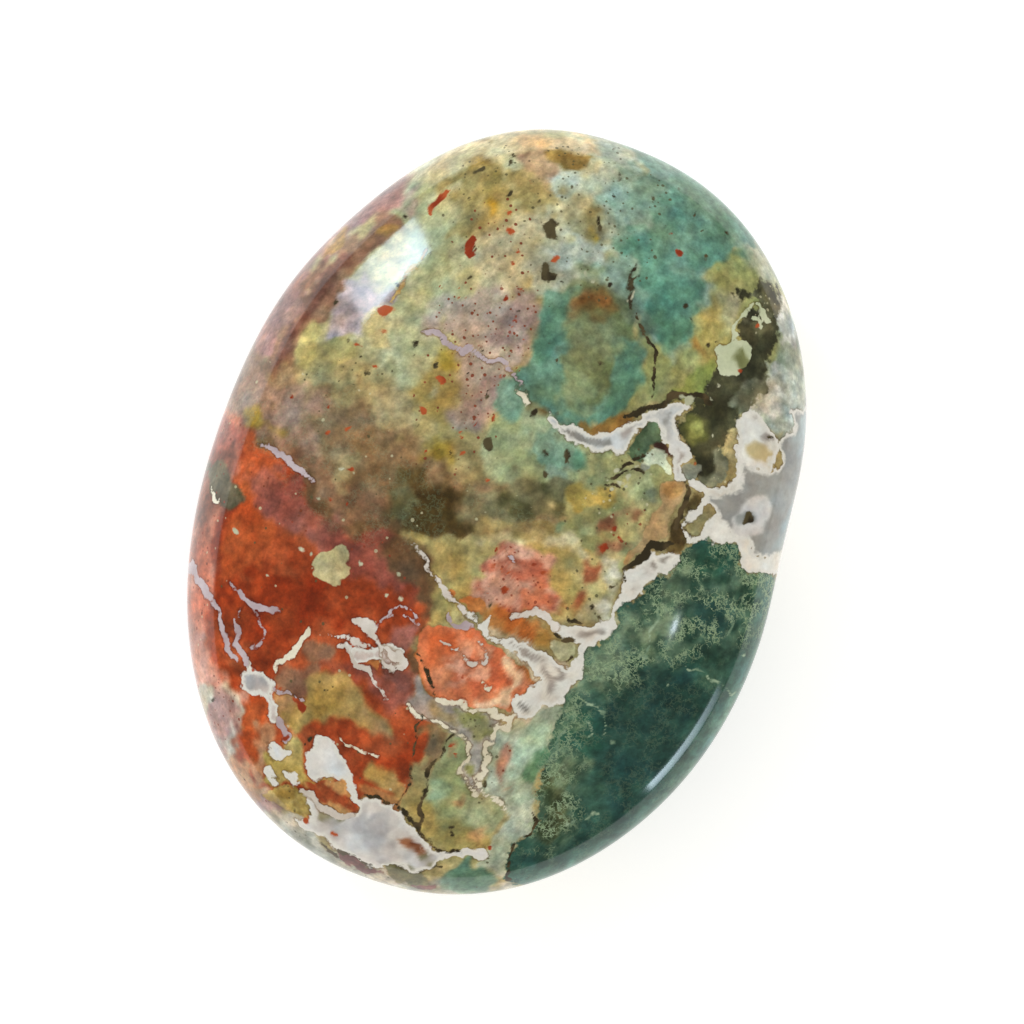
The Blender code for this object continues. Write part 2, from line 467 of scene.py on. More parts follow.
TEAL_DIP = (0.35, 0.3)
lay(stain, ground, TEAL_DIP,
    ("khaki", (66, 66, 45), (58, 58, 36), (0.5, 0.5), [(6.2, 18.8), (8.5, 18.2), (9.4, 19.4), (9.6, 24),
     (9.6, 26.4), (11.4, 28.6), (13, 32), (18, 30), (20, 24), (18, 19), (14.6, 14.4), (11, 14.2),
     (7.3, 10.9), (6.6, 13), (7.3, 15.6), (6.2, 17.4)]),
    ("pale_khaki", (74, 72, 60), (66, 66, 50), (0.8, 0.6), [(11.8, 28.6), (13.2, 27), (15, 26.3),
     (16.6, 25.2), (19, 25), (15, 31), (11, 31.6)], [(11.8, 24.2), (13, 24.6), (13.4, 22.8), (12.6, 20.8),
     (11.6, 22.2)]),
    ("tan_khaki", (70, 65, 42), (62, 57, 33), (0.7, 0.6, 0.9), [(10, 23.2), (11.5, 22.8), (12.2, 21),
     (12.5, 19), (11.9, 17.2), (10.9, 17.8), (10.4, 20)]),
    ("tan_dots", (74, 56, 30), (64, 46, 22), (0.5, 0.6, 0.8), (10.9, 19, 0.5), (11.6, 18.2, 0.5)),
    ("leaf_green", (58, 62, 32), (46, 52, 25), (0.5, 0.5, 0.8), [(10.6, 14.6), (11.4, 16), (12.2, 17.2),
     (13, 17), (12.8, 15.6), (12, 14.6)]),
    ("mint_teal", (60, 68, 60), (49, 60, 52), (0.8, 0.9), [(0.6, 35), (0.4, 31), (-0.4, 29.6), (0.8, 27.4),
     (1.2, 25.6), (0.8, 23.8), (-0.6, 22.4), (0.2, 21.2), (2.6, 21), (4, 19.6), (5.6, 19.8), (7, 18.8),
     (9.6, 18.6), (10, 22), (10.2, 26.5), (12.2, 28.4), (15, 31), (8, 36)]),
    ("teal", (50, 63, 54), (38, 54, 45), (0.3, 0.4), [(4, 35), (4.4, 31), (3.4, 29), (4, 26.8), (2.4, 26),
     (1.8, 24), (3.4, 23.8), (4.2, 22), (4.8, 20.3), (6, 19.6), (7, 19.2), (8.2, 18.6), (9, 18.1),
     (9.7, 18.2), (10.2, 19.6), (10, 21.2), (10.1, 22), (9.7, 23.4), (9.6, 25), (9.9, 26), (10.4, 26.6),
     (11.2, 27.6), (12, 28.3), (13.4, 29.6), (12, 35)]),
    ("deep_teal", (40, 57, 48), (31, 48, 39), (0.7, 0.8, 0.9), [(4.6, 24.8), (6.2, 25.6), (7.8, 24.8),
     (9.2, 23.6), (9.8, 21.6), (10, 19.8), (9.3, 18.5), (8.2, 18.9), (6.8, 19.8), (5.6, 20.8), (5, 22.6)],
     [(2.2, 25.8), (4, 26.4), (5, 25.4), (4, 24.6), (2.4, 24.8)], [(10.2, 28.2), (11.4, 28.6), (11.7, 27.9),
     (11, 27.2), (10.4, 27.2)]))

# The mauve cloud. A pinkish, speckled patch of jasper lies between the cream and the teal ring,
# and a paler lilac one left of it runs out to a pink zone along the rim.

MAUVE_DIP = (-0.2, 0.5)
lay(stain, ground, MAUVE_DIP,
    ("mauve", (74, 66, 60), (64, 55, 49), (1.0, 1.0, 0.92), [(-8.6, 17.6), (-6.6, 18.4), (-4, 18.4),
     (-2.7, 17.2), (-2.3, 15), (-2.6, 12.4), (-3, 9.6), (-3.2, 7.4), (-4, 5.8), (-5.6, 5.8), (-6.4, 8),
     (-6.6, 10.2), (-8.2, 11.6), (-10.6, 12.4), (-10.6, 14.6)]),
    ("mauve_deep", (66, 54, 50), (57, 45, 41), (0.9, 1.0, 0.75), [(-5, 17.2), (-3.4, 16.8), (-2.8, 14.6),
     (-3.2, 12.6), (-5, 12.4), (-6.4, 13.4), (-6, 15.4)], [(-5, 9.8), (-3.6, 9.6), (-3.2, 7.6), (-4.2, 6.4),
     (-5.2, 7.6)]),
    ("pink_rim", (72, 56, 52), (62, 45, 42), (0.8, 0.6), [(-28, 8), (-22.4, 6), (-22, 10), (-21.4, 14),
     (-20.6, 15.4), (-19.4, 18), (-18.4, 19.6), (-17, 20.4), (-16, 21.4), (-16.4, 23.6), (-18, 25.6),
     (-24, 24), (-28, 16)]),
    ("lilac", (74, 67, 66), (66, 58, 58), (0.5, 0.5), [(-18.8, 14.6), (-16, 14.4), (-14.8, 13.6),
     (-15.2, 12.2), (-16, 10.8), (-17, 9.8), (-18.3, 8.7), (-19, 8.4), (-19.4, 10), (-19, 12)]),
    ("rim_brown", (62, 47, 35), (50, 36, 28), (0.35, 0.4), [(-20.9, 12.8), (-20.3, 14.6), (-19.7, 16.2),
     (-19, 17.7), (-18.3, 18.7), (-17.9, 19.5), (-17.3, 20), (-16.7, 20.2), (-16.1, 19.6), (-16.9, 18.4),
     (-17.6, 17.2), (-18.2, 16), (-18.7, 14.6), (-19, 12.8)], [(-21.7, 13.4), (-19.2, 13.2), (-18.9, 10.5),
     (-20.2, 8.2), (-20.8, 4), (-22, 1), (-23, 4), (-22.6, 9)]),
    ("ochre_tip", (74, 58, 32), (64, 46, 24), (0.3, 0.3, 0.85), [(-17.4, 19.6), (-16.7, 20.1),
     (-16.1, 19.6), (-16.7, 18.7), (-17.3, 18.8)], [(-21.6, 16), (-20.6, 18.2), (-20, 18.2), (-20.4, 16.6),
     (-21, 15)]))
lay(stain, ground, PALE_DIP,
    # A dark line just inside the left rim: partly the stone's maroon, partly a painted reflection of the
    # dark room that the polished rim mirrors there.
    ("rim_line", (53, 36, 30), (41, 25, 20), (0.5, 0.4, 0.92, True), [(-19.2, 16, 0.6), (-20.2, 14, 1.1),
     (-21, 11, 1.2), (-21.6, 8, 1.1), (-21.9, 4, 0.9), (-22.1, 0.6, 0.8)]),
    ("rim_rose", (66, 50, 46), (56, 40, 36), (0.5, 0.4, 0.7), [(-28, 12), (-22.2, 12), (-22.8, 6), (-23, 0),
     (-28, 0)]))

# The ring. The teal jasper closes round a core of olive jasper, with a rusty spot at its head,
# and a crack with dark edges leaves it at the right.

RING_DIP = (0.15, 0.35)
lay(stain, ground, RING_DIP,
    ("ring_ground", (52, 56, 40), (42, 46, 30), (0.4, 0.4), [(-1, 19), (0.8, 21), (3, 21.2), (4.8, 20.6),
     (5.4, 19), (6.2, 17.2), (6.4, 12), (5, 10), (2, 10), (0.4, 12)]),
    ("teal_ring", (46, 60, 51), (38, 52, 43), (0.35, 0.35), [(-3, 18.9), (-1.4, 19.4), (0, 20), (0.6, 19),
     (0.6, 17), (1, 14.6), (1.6, 12.4), (3, 11.4), (4.8, 11.8), (5.2, 13.4), (4.6, 15.4), (4.4, 17),
     (5.4, 17.6), (6.3, 17.5), (6.9, 16.6), (7.2, 15.3), (7.3, 13), (7.1, 11.4), (6.2, 10.2), (5, 9.6),
     (3.4, 9.4), (1.6, 9.6), (0.2, 9.4), (-0.8, 10), (-1.8, 10.8), (-2.4, 11.6), (-1.9, 12.8), (-2, 15),
     (-2.5, 17)]),
    ("ring_deep", (38, 54, 45), (31, 46, 37), (0.4, 0.35, 0.95), [(-1.6, 18), (-0.4, 18.4), (0.1, 16.6),
     (0.3, 14), (-0.4, 13), (-1.4, 13.6), (-1.7, 15.6)], [(5.6, 17.2), (6.4, 16.8), (7, 15.4), (7.1, 13),
     (6.8, 11.4), (5.8, 11), (5.6, 13), (5.4, 15)]),
    ("olive_core", (53, 57, 42), (45, 49, 34), (0.7, 0.7, 0.8), [(0.4, 18.6), (1.8, 18.2), (3.2, 18.4),
     (4.4, 18), (4.4, 17), (3.4, 16.2), (2.8, 14.9), (2.9, 13.8), (1.4, 13.6), (0.9, 15.8), (0.3, 17.2)],
     [(-0.4, 22), (0.3, 22.5), (1, 22.2), (1.5, 21.6), (1.1, 21.1), (0.4, 21.3)], [(3.4, 13.6), (4.6, 13.4),
     (5.2, 12.8), (4.4, 12.2), (3.2, 12.6)], [(2, 10.4), (4, 10.2), (5.4, 11), (5.4, 12), (4.4, 11.2),
     (2.6, 11.4)]),
    ("pale_core", (58, 63, 49), (50, 55, 40), (0.4, 0.5, 0.9), [(1.6, 13), (3, 13.2), (4, 12.4),
     (4.4, 11.4), (3.2, 11.2), (2, 11.6)]),
    ("rust_head", (53, 44, 29), (43, 36, 20), (0.6, 0.5), [(-0.2, 19.7), (0.3, 20.2), (1, 20.7), (1.9, 21),
     (2.7, 20.7), (3, 20), (3.1, 19.3), (2.8, 18.8), (2.2, 18.3), (1.3, 18.1), (0.5, 18.3), (-0.2, 18.9)]),
    ("rust_heart", (53, 36, 20), (42, 27, 12), (0.5, 0.4, 0.85), (0.65, 19.3, 0.55), (2.05, 20.1, 0.62),
     (1.4, 19.7, 0.3)),
    ("ring_shadow", (48, 52, 42), (35, 40, 31), (0.7, 0.8, 0.75, True), [(3.3, 23.8, 0.5), (3.8, 22.4, 1.1),
     (4.1, 20.8, 1.5), (5, 19.6, 1.2), (6.2, 18.4, 0.5)]),
    ("ring_rim", (58, 41, 18), (46, 31, 14), (0.25, 0.3, 0.85), [(-0.6, 9.5, 0.35), (0.2, 9.3, 0.4),
     (1.3, 9.2, 0.4)], [(4.4, 9.3, 0.4), (5.2, 9.3, 0.6), (6, 9.5, 0.7), (6.8, 10.2, 0.8), (7.3, 11, 0.7),
     (7.8, 11.5, 0.4)]))

# The mint patch. Pale green, grainy jasper lies under the ring and the white vein. Blue-green
# clay clouds its right side, and dark mineral grew in it as tiny branching tufts.

MINT_DIP = (0.3, -0.2)
lay(stain, ground, MINT_DIP,
    ("mint", (70, 71, 54), (60, 62, 44), (0.7, 0.7), [(-2.8, 10.8), (-1.6, 10.6), (-0.6, 9.6), (1.4, 9),
     (3, 8.2), (5, 7.7), (6.6, 7.8), (6.6, 6.4), (5.6, 5.2), (5.2, 3.6), (4, 2.6), (2, 1.6), (0, 1.4),
     (-2, 2), (-2.6, 4.4), (-2.4, 7.4)]),
    ("mint_teal_low", (56, 67, 56), (44, 56, 45), (0.5, 0.7, 0.9), [(1.2, 7.2), (3, 7.3), (4.5, 7.3),
     (6.4, 7.6), (6.3, 6.4), (5.6, 5.6), (4.4, 5), (2.8, 4.6), (1.4, 5), (0.8, 6)], [(-2.6, 10.2),
     (-1.4, 10), (-1, 8.4), (-2, 7.6), (-2.6, 8.8)]),
    ("blue_clay", (56, 64, 55), (46, 55, 46), (0.35, 0.4, 0.8), [(2.8, 4.9), (3.6, 5.1), (4.8, 4.6),
     (5, 3.8), (4, 3.7), (3, 4)]),
    ("deep_lobe", (42, 60, 47), (33, 50, 39), (0.35, 0.35, 0.9), [(4.8, 6.9), (5.8, 7.4), (6.3, 7.3),
     (6, 6.3), (5, 6), (4.6, 6.4)]))

# The taupe field. Brown jasper fills the left middle of the stone. It is rosy near the rim,
# yellow and speckled along its upper edge, and darkens to olive black in the centre.

TAUPE_DIP = (-0.3, -0.25)
lay(stain, ground, TAUPE_DIP,
    ("taupe", (60, 49, 36), (50, 39, 26), (0.9, 0.8), [(-27, 8), (-22.4, 5), (-20, 5.4), (-17, 5.4),
     (-14.6, 5.8), (-12, 4.8), (-10, 3.6), (-8.4, 2.6), (-6, 1.8), (-4, 1.6), (-2, 1.6), (0, 1.2), (2, 1.4),
     (5, 2), (5.6, 1), (3.6, 0), (1, -1), (-1.4, -2.6), (-4, -4.4), (-6, -5.4), (-10, -6.4), (-16, -5.4),
     (-20, -2.4), (-27, -1)]),
    ("rosy_taupe", (67, 54, 47), (57, 44, 37), (1.0, 0.9, 0.9), [(-27, 7), (-22, 4), (-19.6, 4),
     (-17.6, 3.4), (-16.6, 1.4), (-16.4, -0.8), (-18, -1.6), (-21, -1), (-27, -1)]),
    ("red_taupe", (56, 41, 30), (46, 32, 22), (1.0, 0.9, 0.85), [(-17, -0.6), (-14, -1.4), (-11, -1.4),
     (-9, -2.4), (-8, -4), (-8.6, -6.4), (-12, -7), (-15.4, -5), (-17, -2.6)]),
    ("khaki_edge", (69, 62, 45), (60, 53, 36), (0.7, 0.8, 0.85), [(-16.6, 6), (-14, 6.6), (-11.6, 6.2),
     (-10, 4.6), (-11.6, 4), (-14, 4.8), (-16.4, 4.8)], [(-13.4, 0.4), (-12.8, -1.4), (-13.4, -3),
     (-14.4, -1.4), (-14.2, 0.4)]),
    ("yellow_patch", (75, 70, 46), (66, 60, 37), (0.3, 0.35), [(-20.3, 9.7), (-19.1, 9.7), (-18.9, 8.3),
     (-18.2, 8.9), (-16.9, 9.2), (-15.9, 9), (-15.8, 8), (-17, 7), (-18, 6.2), (-19.8, 5.8), (-20.3, 7),
     (-20.4, 8.5)]),
    ("speckle_band", (62, 59, 43), (50, 48, 34), (0.4, 0.7, 0.7, True), [(-19.6, 5.6), (-17.8, 6.8),
     (-16.2, 7.8), (-14, 7.8), (-12.2, 8.2), (-12, 7.2), (-14, 6.6), (-15.6, 5.8), (-17.4, 5.2),
     (-19.2, 4.4)]),
    ("peach_patch", (80, 74, 54), (74, 66, 44), (0.3, 0.3), [(-16.2, 11.6), (-15.8, 12.6), (-15, 13),
     (-14.2, 11.9), (-14, 10.6), (-13.4, 10), (-14.6, 9.7), (-15.4, 10.2)]),
    ("ochre_patch", (68, 58, 24), (59, 48, 14), (0.8, 0.6, 0.85), [(-7.8, 2.4), (-7, 4.2), (-6.2, 4.9),
     (-5.3, 4.6), (-4.8, 3.2), (-5.2, 2), (-6.4, 1.6), (-7.6, 1.6)], [(-8.9, 10.8), (-7.4, 11.3),
     (-6.6, 10.7), (-7.2, 9.9), (-8.8, 9.8)], [(-3, 12.8), (-2.2, 12.4), (-2.3, 11.2), (-2.9, 11.5)],
     [(-22.6, 0.9), (-22, 1.2), (-21.4, 0.4), (-22.2, 0)], [(-20.8, 0.6), (-19.6, 0.3), (-19, 0),
     (-19.8, -0.4), (-20.8, 0)]),
    ("dark_heart", (42, 34, 20), (32, 25, 12), (0.9, 0.9), [(-8.6, 0.6), (-7, 1.3), (-5, 1.2), (-3.6, 1.6),
     (-2.6, 0.6), (-3, -1), (-1.2, -2), (-2, -3.4), (-3.6, -4.4), (-5.4, -5.2), (-7.6, -5.2), (-8.4, -3),
     (-7.8, -1)]),
    ("darkest", (30, 23, 10), (22, 16, 5), (0.8, 0.8, 0.9), [(-6.8, -0.2), (-5, 0.1), (-4.2, -1.4),
     (-4.6, -3), (-5.4, -4.6), (-6.6, -4), (-7, -2)]),
    ("green_grey", (40, 40, 29), (35, 34, 22), (0.5, 0.5, 0.8), [(-8.4, -0.9), (-7.2, -0.9), (-6.9, -1.8),
     (-7.4, -2.8), (-8.4, -2.6)]),
    ("grey_olive", (54, 51, 38), (43, 40, 27), (0.6, 0.8, 0.9), [(-2.8, 2), (-1, 1.6), (0.4, 2.6), (2, 3.4),
     (3.4, 3.8), (5, 3.4), (5.9, 2.2), (5.4, 1.2), (4, 0.6), (2, 0), (0, -0.6), (-1.6, -1.6),
     (-2.8, -1.4)]),
    ("dark_olive", (38, 37, 25), (30, 29, 17), (0.4, 0.6, 0.85, True), [(0.4, 0.9), (1.2, 1.6), (2.4, 1.7),
     (3.4, 1.2), (3, 0.6), (1.6, 0.3), (0.6, 0.3)], [(1.4, 3.3), (2.8, 3.7), (4.4, 3.4), (5.6, 2.6),
     (5.6, 1.8), (4.6, 1.1), (4, 2), (3.2, 2.6), (2, 2.6)]),
    ("tan_arc", (61, 53, 34), (52, 44, 25), (0.35, 0.4), [(-0.6, -2.2), (1, -1.3), (3, -0.6), (5, 0.3),
     (4.4, 0.6), (2.8, 0.4), (1, -0.2), (-0.8, -1.2)]),
    ("green_wedge", (50, 58, 44), (42, 51, 37), (0.3, 0.3, 0.9), [(6.3, 2), (6.2, 1.2), (5.6, 0.4),
     (4.9, 0.1), (4.9, 0.9), (5.6, 1.7)]))
strew(DARK, drawn["speckle_band"], 0.7)
strew(PALE, drawn["taupe"], 0.07)
strew(LACE, drawn["taupe"], 0.15)
strew(DARK, drawn["taupe"], 0.08)
strew(DARK, drawn["mauve"], 0.75)
strew(LACE, drawn["mauve"], 0.15)
strew(RED, drawn["mauve"], 0.9)

# The green rubble. Small rounded scraps of green, yellow and tan jasper lie right of the mint
# patch, cemented by silica.

RUBBLE_DIP = (-0.2, -0.35)
lay(stain, ground, RUBBLE_DIP,
    ("rubble", (70, 68, 48), (59, 58, 38), (0.5, 0.7), [(5, 7.6), (7, 8), (10, 8.4), (12.6, 8), (12.4, 6.4),
     (12.6, 4.6), (11.6, 2.4), (11, 0), (11.4, -2), (9, -2), (7, -0.4), (5.6, 0.4), (5.2, 2.4), (5.4, 5)]),
    ("green_scrap", (64, 66, 48), (52, 54, 38), (0.4, 0.7, 1.0, True), [(6.4, 7.8), (8.2, 7.8), (9.6, 7.2),
     (9.4, 6.2), (8, 5.2), (6.6, 5.4), (6.4, 6.4)], [(10.4, 7.2), (11.8, 6.6), (12.4, 5.4), (12.2, 4.4),
     (10.8, 4.8), (10, 5.8)], [(6, 1.8), (7.4, 2), (8.2, 1), (7.4, 0.2), (6.2, 0.6)], [(10.2, 1.4),
     (11.2, 1.2), (11.2, -0.4), (10.6, -1.8), (9.8, -1), (9.8, 0.4)]),
    ("yellow_scrap", (74, 65, 37), (66, 56, 28), (0.25, 0.3), [(5, 3.1), (5.8, 3.9), (6.8, 4.2), (8, 4.5),
     (9, 4.2), (8.2, 3.5), (7, 3.1), (6.4, 2.3), (5.6, 2.5)], [(7.2, 5), (8.4, 5.2), (8.8, 4.4), (7.6, 4)]),
    ("blue_scrap", (52, 55, 47), (44, 47, 38), (0.3, 0.4, 0.8), (11.5, 6.2, 0.5), (8.5, 3.6, 0.35),
     (11.9, 5.6, 0.3)),
    ("red_crumbs", (70, 48, 37), (52, 29, 21), (0.6, 1.0, 0.75, True), [(9.6, 4.2), (10.4, 4), (11.4, 3.8),
     (12, 3.2), (11.6, 2.7), (10.6, 2.6), (9.9, 3)], [(9, 2.2), (9.8, 2.4), (10.3, 1.8), (10.5, 1.2),
     (9.9, 1.1), (9.4, 1.7)], [(9.1, 0.7), (9.6, 0.7), (9.8, 0.1), (9.4, -0.2), (9, 0.2)]))
strew(PALE, drawn["rubble"], 0.25)
strew(DARK, drawn["rubble"], 0.3)
strew(DARK, marks(RUBBLE_DIP, [(7.2, 5.2), (9, 4.8), (10.8, 7), (10.2, 8.8), (8.6, 8.8), (7.6, 7)]), 1.0)
strew(RED, drawn["red_crumbs"], 1.0)

# The red jasper. Iron oxide coloured the lower left of the stone: orange red in the main, rosy
# where it meets the taupe, deep red between its veins. Along the rim it is pinker and paler, partly its own
# colour and partly a painted reflection of the white floor, with a painted dark reflection line just inside
# that band.

RED_DIP = (0.45, 0.3)
lay(stain, ground, RED_DIP,
    ("red", (70, 33, 18), (59, 23, 10), (0.5, 0.5), [(-28, -0.4), (-23, -0.5), (-20, -1.6), (-18, -2.4),
     (-15.6, -3.3), (-15, -4.6), (-13.4, -5.5), (-11.4, -6.1), (-10, -5.3), (-8, -4.9), (-6.2, -4.7),
     (-5, -5.6), (-3.4, -7.2), (-2.6, -9), (-2.5, -11.4), (-2.9, -13), (-1.8, -15), (-1.5, -17.6),
     (0.2, -18.2), (1.4, -20), (1.2, -22.6), (0.9, -25.4), (1.7, -26.6), (-0.4, -26.4), (-2.8, -26.4),
     (-2.6, -28.2), (-6, -28.4), (-11.2, -28.7), (-12.2, -29), (-13.2, -28), (-13.9, -26), (-14.4, -24),
     (-15.8, -22.2), (-17.6, -21.6), (-20, -23), (-28, -14)]),
    ("orange_red", (75, 37, 19), (67, 28, 12), (0.7, 0.7, 0.9), [(-21.4, -2.6), (-19.4, -2.6),
     (-17.4, -3.4), (-16.6, -6), (-17.2, -9), (-18.6, -12), (-20.2, -12.4), (-21, -9), (-21.4, -5)],
     [(-15.4, -21.6), (-13.6, -21.4), (-12.6, -22), (-12.4, -24), (-11.8, -26), (-11.2, -28.4),
     (-12.6, -28.4), (-13.6, -26), (-14.2, -23.6)]),
    ("deep_red", (62, 25, 11), (50, 16, 5), (0.8, 0.8, 0.9), [(-18.6, -12.2), (-14, -10.8), (-11, -11.6),
     (-8.2, -12.4), (-8.6, -13.9), (-11.4, -14.4), (-12.4, -17.4), (-13.4, -18.6), (-15, -18.6),
     (-17.4, -17.6), (-19.4, -15)], [(-16.9, -20.2), (-15.8, -20.4), (-15.2, -21.8), (-16, -22.3),
     (-17, -21.4)], [(-12.6, -27), (-11.8, -26.6), (-11.2, -27.6), (-11.6, -28.4), (-12.4, -28)],
     [(-5.4, -22.4), (-3, -22.6), (-0.2, -22.2), (0.2, -23.2), (-1.6, -23.4), (-4, -23.2)]),
    ("rose", (65, 38, 32), (56, 29, 24), (1.1, 1.0, 0.9), [(-22, -4.2), (-20, -3.4), (-16, -4.6), (-13, -6),
     (-9, -6), (-5, -6.4), (-4.4, -8), (-8, -8.4), (-12, -7.8), (-16, -7.4), (-20, -6.4)], [(-17, -3.4),
     (-15, -4.8), (-12, -6.2), (-9.6, -5.4), (-7, -5.2), (-6.6, -7), (-9, -8.4), (-12, -8.2), (-15, -7.6),
     (-17, -6)], [(-9.6, -16.4), (-6.4, -15.8), (-4.8, -16.2), (-2.6, -17.4), (-3.6, -18.2), (-6, -17.2),
     (-9, -17.2)]),
    ("mauve_red", (60, 38, 34), (48, 27, 23), (0.4, 0.5, 0.9), [(-4.8, -15.6), (-3.2, -15.2), (-2, -15.6),
     (-1.9, -16.8), (-2.6, -17.6), (-4, -16.8)], [(-4.2, -11.6), (-3, -11.4), (-2.8, -13), (-3.4, -14),
     (-4.6, -13.4)]),
    # A paler pink band along the rim: partly the red's own colour, partly a painted reflection of the white
    # floor in the polished rim.
    ("pink_edge", (79, 52, 42), (70, 40, 30), (0.5, 0.4), [(-28, -0.6), (-22.5, -0.8), (-22, -6),
     (-21.7, -10), (-20.9, -13), (-20.3, -16), (-19.4, -18.4), (-18, -20.6), (-16.6, -21.6), (-17.4, -22.6),
     (-22, -24), (-28, -14)]),
    ("pale_pink", (82, 64, 58), (75, 54, 48), (0.7, 0.6, 0.9), [(-21.6, -19.4), (-19.4, -19),
     (-17.4, -20.8), (-15.6, -21.6), (-15, -22.4), (-16.6, -22.8), (-18.4, -22.6), (-21, -23.4)]),
    # A dark red line just inside the left rim: a painted reflection of the dark room that the polished rim
    # mirrors, continuing the dark line above.
    ("maroon_line", (52, 21, 12), (44, 15, 8), (0.35, 0.25, 0.8), [(-22.4, -0.4, 0.5), (-22, -3.5, 0.5),
     (-21.7, -6, 0.5), (-21.4, -10, 0.6), (-20.6, -13, 0.5), (-20, -15.6, 0.4), (-19.2, -18, 0.2)]),
    ("rose_rim", (68, 40, 34), (58, 30, 25), (0.5, 0.5, 0.85), [(-26, -0.8), (-22.8, -1), (-22.6, -4),
     (-24, -4.4), (-27, -4)]),
    ("rim_shade", (54, 35, 28), (43, 26, 20), (0.8, 0.8, 0.9), [(-27, -3.6), (-24.4, -3.8), (-22.4, -3.8),
     (-21.6, -6), (-22, -8), (-24, -9), (-27, -8)]),
    ("moss_stain", (42, 38, 29), (32, 29, 20), (0.25, 0.4, 1.0, True), [(-24.4, -4.6), (-22.6, -4.5),
     (-21.6, -5.2), (-21.5, -6.5), (-22, -7.4), (-23, -7), (-24, -6)]),
    ("taupe_shade", (46, 34, 22), (38, 27, 16), (0.5, 0.5, 0.9), [(-16, -3.2, 0.6), (-14.4, -4.7, 0.9),
     (-12.6, -5.3, 0.9), (-10.8, -5.3, 0.9), (-9.4, -4.7, 0.9), (-8, -4.4, 1)]),
    ("grey_taupe", (58, 44, 34), (50, 33, 25), (0.35, 0.5, 0.9), [(-11.5, -15.4), (-9.2, -15.3),
     (-8.6, -16.1), (-9.8, -16.8), (-11.6, -17)], [(-12.9, -18.4), (-12, -17.9), (-10.6, -17.7),
     (-9.7, -17.3), (-9.6, -18.6), (-10.1, -20), (-10.9, -20.4), (-12.3, -20.1)]),
    ("sandy_taupe", (68, 53, 37), (60, 45, 29), (0.3, 0.3), [(-12.3, -20.5), (-11, -20.7), (-10.4, -21.8),
     (-9.5, -22.3), (-9.9, -23.4), (-10.8, -23.2), (-11.7, -21.9)]))
strew(PALE, drawn["red"], 0.04)
strew(DARK, drawn["red"], 0.05)
strew(RED, np.minimum(drawn["rose"], drawn["pink_edge"]), 0.35)

# The yellow field. Soft ochre yellow jasper lies right of the white fracture. It holds a pink
# patch speckled with red, and where it nears the fracture a dark brown shadow runs along it.

YELLOW_DIP = (-0.35, 0.4)
lay(stain, ground, YELLOW_DIP,
    ("yellow", (76, 69, 46), (67, 58, 34), (0.3, 0.35), [(-6.4, -4.4), (-4.6, -4.3), (-2.8, -3.5),
     (-0.6, -2.5), (1, -1.7), (3, -1), (5, -0.3), (6.6, 0.4), (8.6, -0.4), (10.4, -1.8), (10.8, -4.4),
     (10.2, -6.4), (8.6, -6.4), (7, -6.8), (4.6, -7.5), (2, -7.8), (1, -8.8), (0, -9.2), (-1.4, -10.4),
     (-2.5, -11.2), (-2.6, -9.4), (-3.4, -7.2), (-5, -5.6)]),
    ("cream_band", (84, 79, 63), (78, 71, 52), (0.4, 0.4, 0.85), [(-0.5, -2.9, 0.5), (1, -2, 0.6),
     (3, -1.4, 0.7), (5, -0.7, 0.8), (6.6, 0, 0.7), (8, -0.8, 0.6), (9, -1.8, 0.4)]),
    ("salmon", (82, 62, 53), (69, 39, 30), (0.4, 0.5, 1.0, True), [(1, -3), (1.5, -2.3), (2.5, -2),
     (3.8, -1.9), (4.8, -2), (5.3, -2.6), (5.6, -3.5), (6, -4.4), (6.9, -5), (7.6, -5.5), (7.3, -6.3),
     (6.5, -6.5), (5.5, -6.8), (4.5, -7.5), (1, -7.5), (0.6, -6.3), (1, -5.2), (0.3, -4.6), (0.6, -4)]),
    ("salmon_right", (82, 52, 39), (75, 43, 30), (0.5, 0.5, 0.9), [(5, -4), (5.9, -4.6), (6.6, -5.2),
     (6.6, -6.2), (5.4, -6.6), (4.6, -6)]),
    ("rust", (64, 36, 24), (53, 25, 15), (0.45, 0.6, 0.9, True), [(8.4, -1.6), (9.3, -1.3), (9.9, -2.4),
     (9.6, -3.4), (9.4, -4.6), (8.9, -5.6), (8, -6), (7.2, -5.8), (7.6, -5.2), (8.3, -4.8), (8.5, -3.6),
     (8.3, -2.6)]),
    ("orange_band", (80, 53, 28), (71, 40, 18), (0.35, 0.5, 1.0, True), [(2, -8.2), (3.2, -7.6),
     (5.3, -7.5), (7.7, -7.5), (8.2, -8.4), (7.9, -9.4), (6, -9.6), (4.6, -9.3), (2.6, -9)]),
    ("band_end", (74, 58, 31), (63, 46, 21), (0.7, 0.6, 0.9, True), [(5.8, -7.5), (8, -7.5), (8.2, -9.4),
     (6.4, -9.6)]),
    ("grey_cream", (82, 79, 69), (65, 62, 47), (0.5, 0.9, 1.0, True), [(10, -0.8), (11.6, -1.2),
     (12.4, -3.6), (12.6, -5), (11.4, -6.2), (9.6, -6.2), (9.6, -5), (10.2, -3)]),
    ("shadow", (44, 33, 22), (32, 23, 13), (0.6, 0.6, 0.9), [(-7, -4.8), (-5.2, -5.4), (-3.4, -6.8),
     (-2.5, -7.6), (-2.4, -9), (-2.2, -10.2), (-2.6, -11), (-3.3, -10.3), (-3.8, -9), (-4, -8),
     (-5.5, -7.6), (-7, -7), (-7.4, -6)], [(-2.7, -10.8), (-2.3, -11.6), (-2.4, -13), (-1.9, -14.4),
     (-2.6, -14.6), (-3.2, -13), (-3, -11.4)]))
strew(RED, drawn["salmon"], 0.75)
strew(DARK, marks(YELLOW_DIP, [(7, -1.4), (10.4, -1.4), (10.6, -6), (8.6, -6), (7.4, -3.6)]), 0.45)

# The lower end. Rounded scraps of ochre, khaki and orange jasper lie here between bands of red
# and seams of silica, with paler, greyish jasper along the rim.

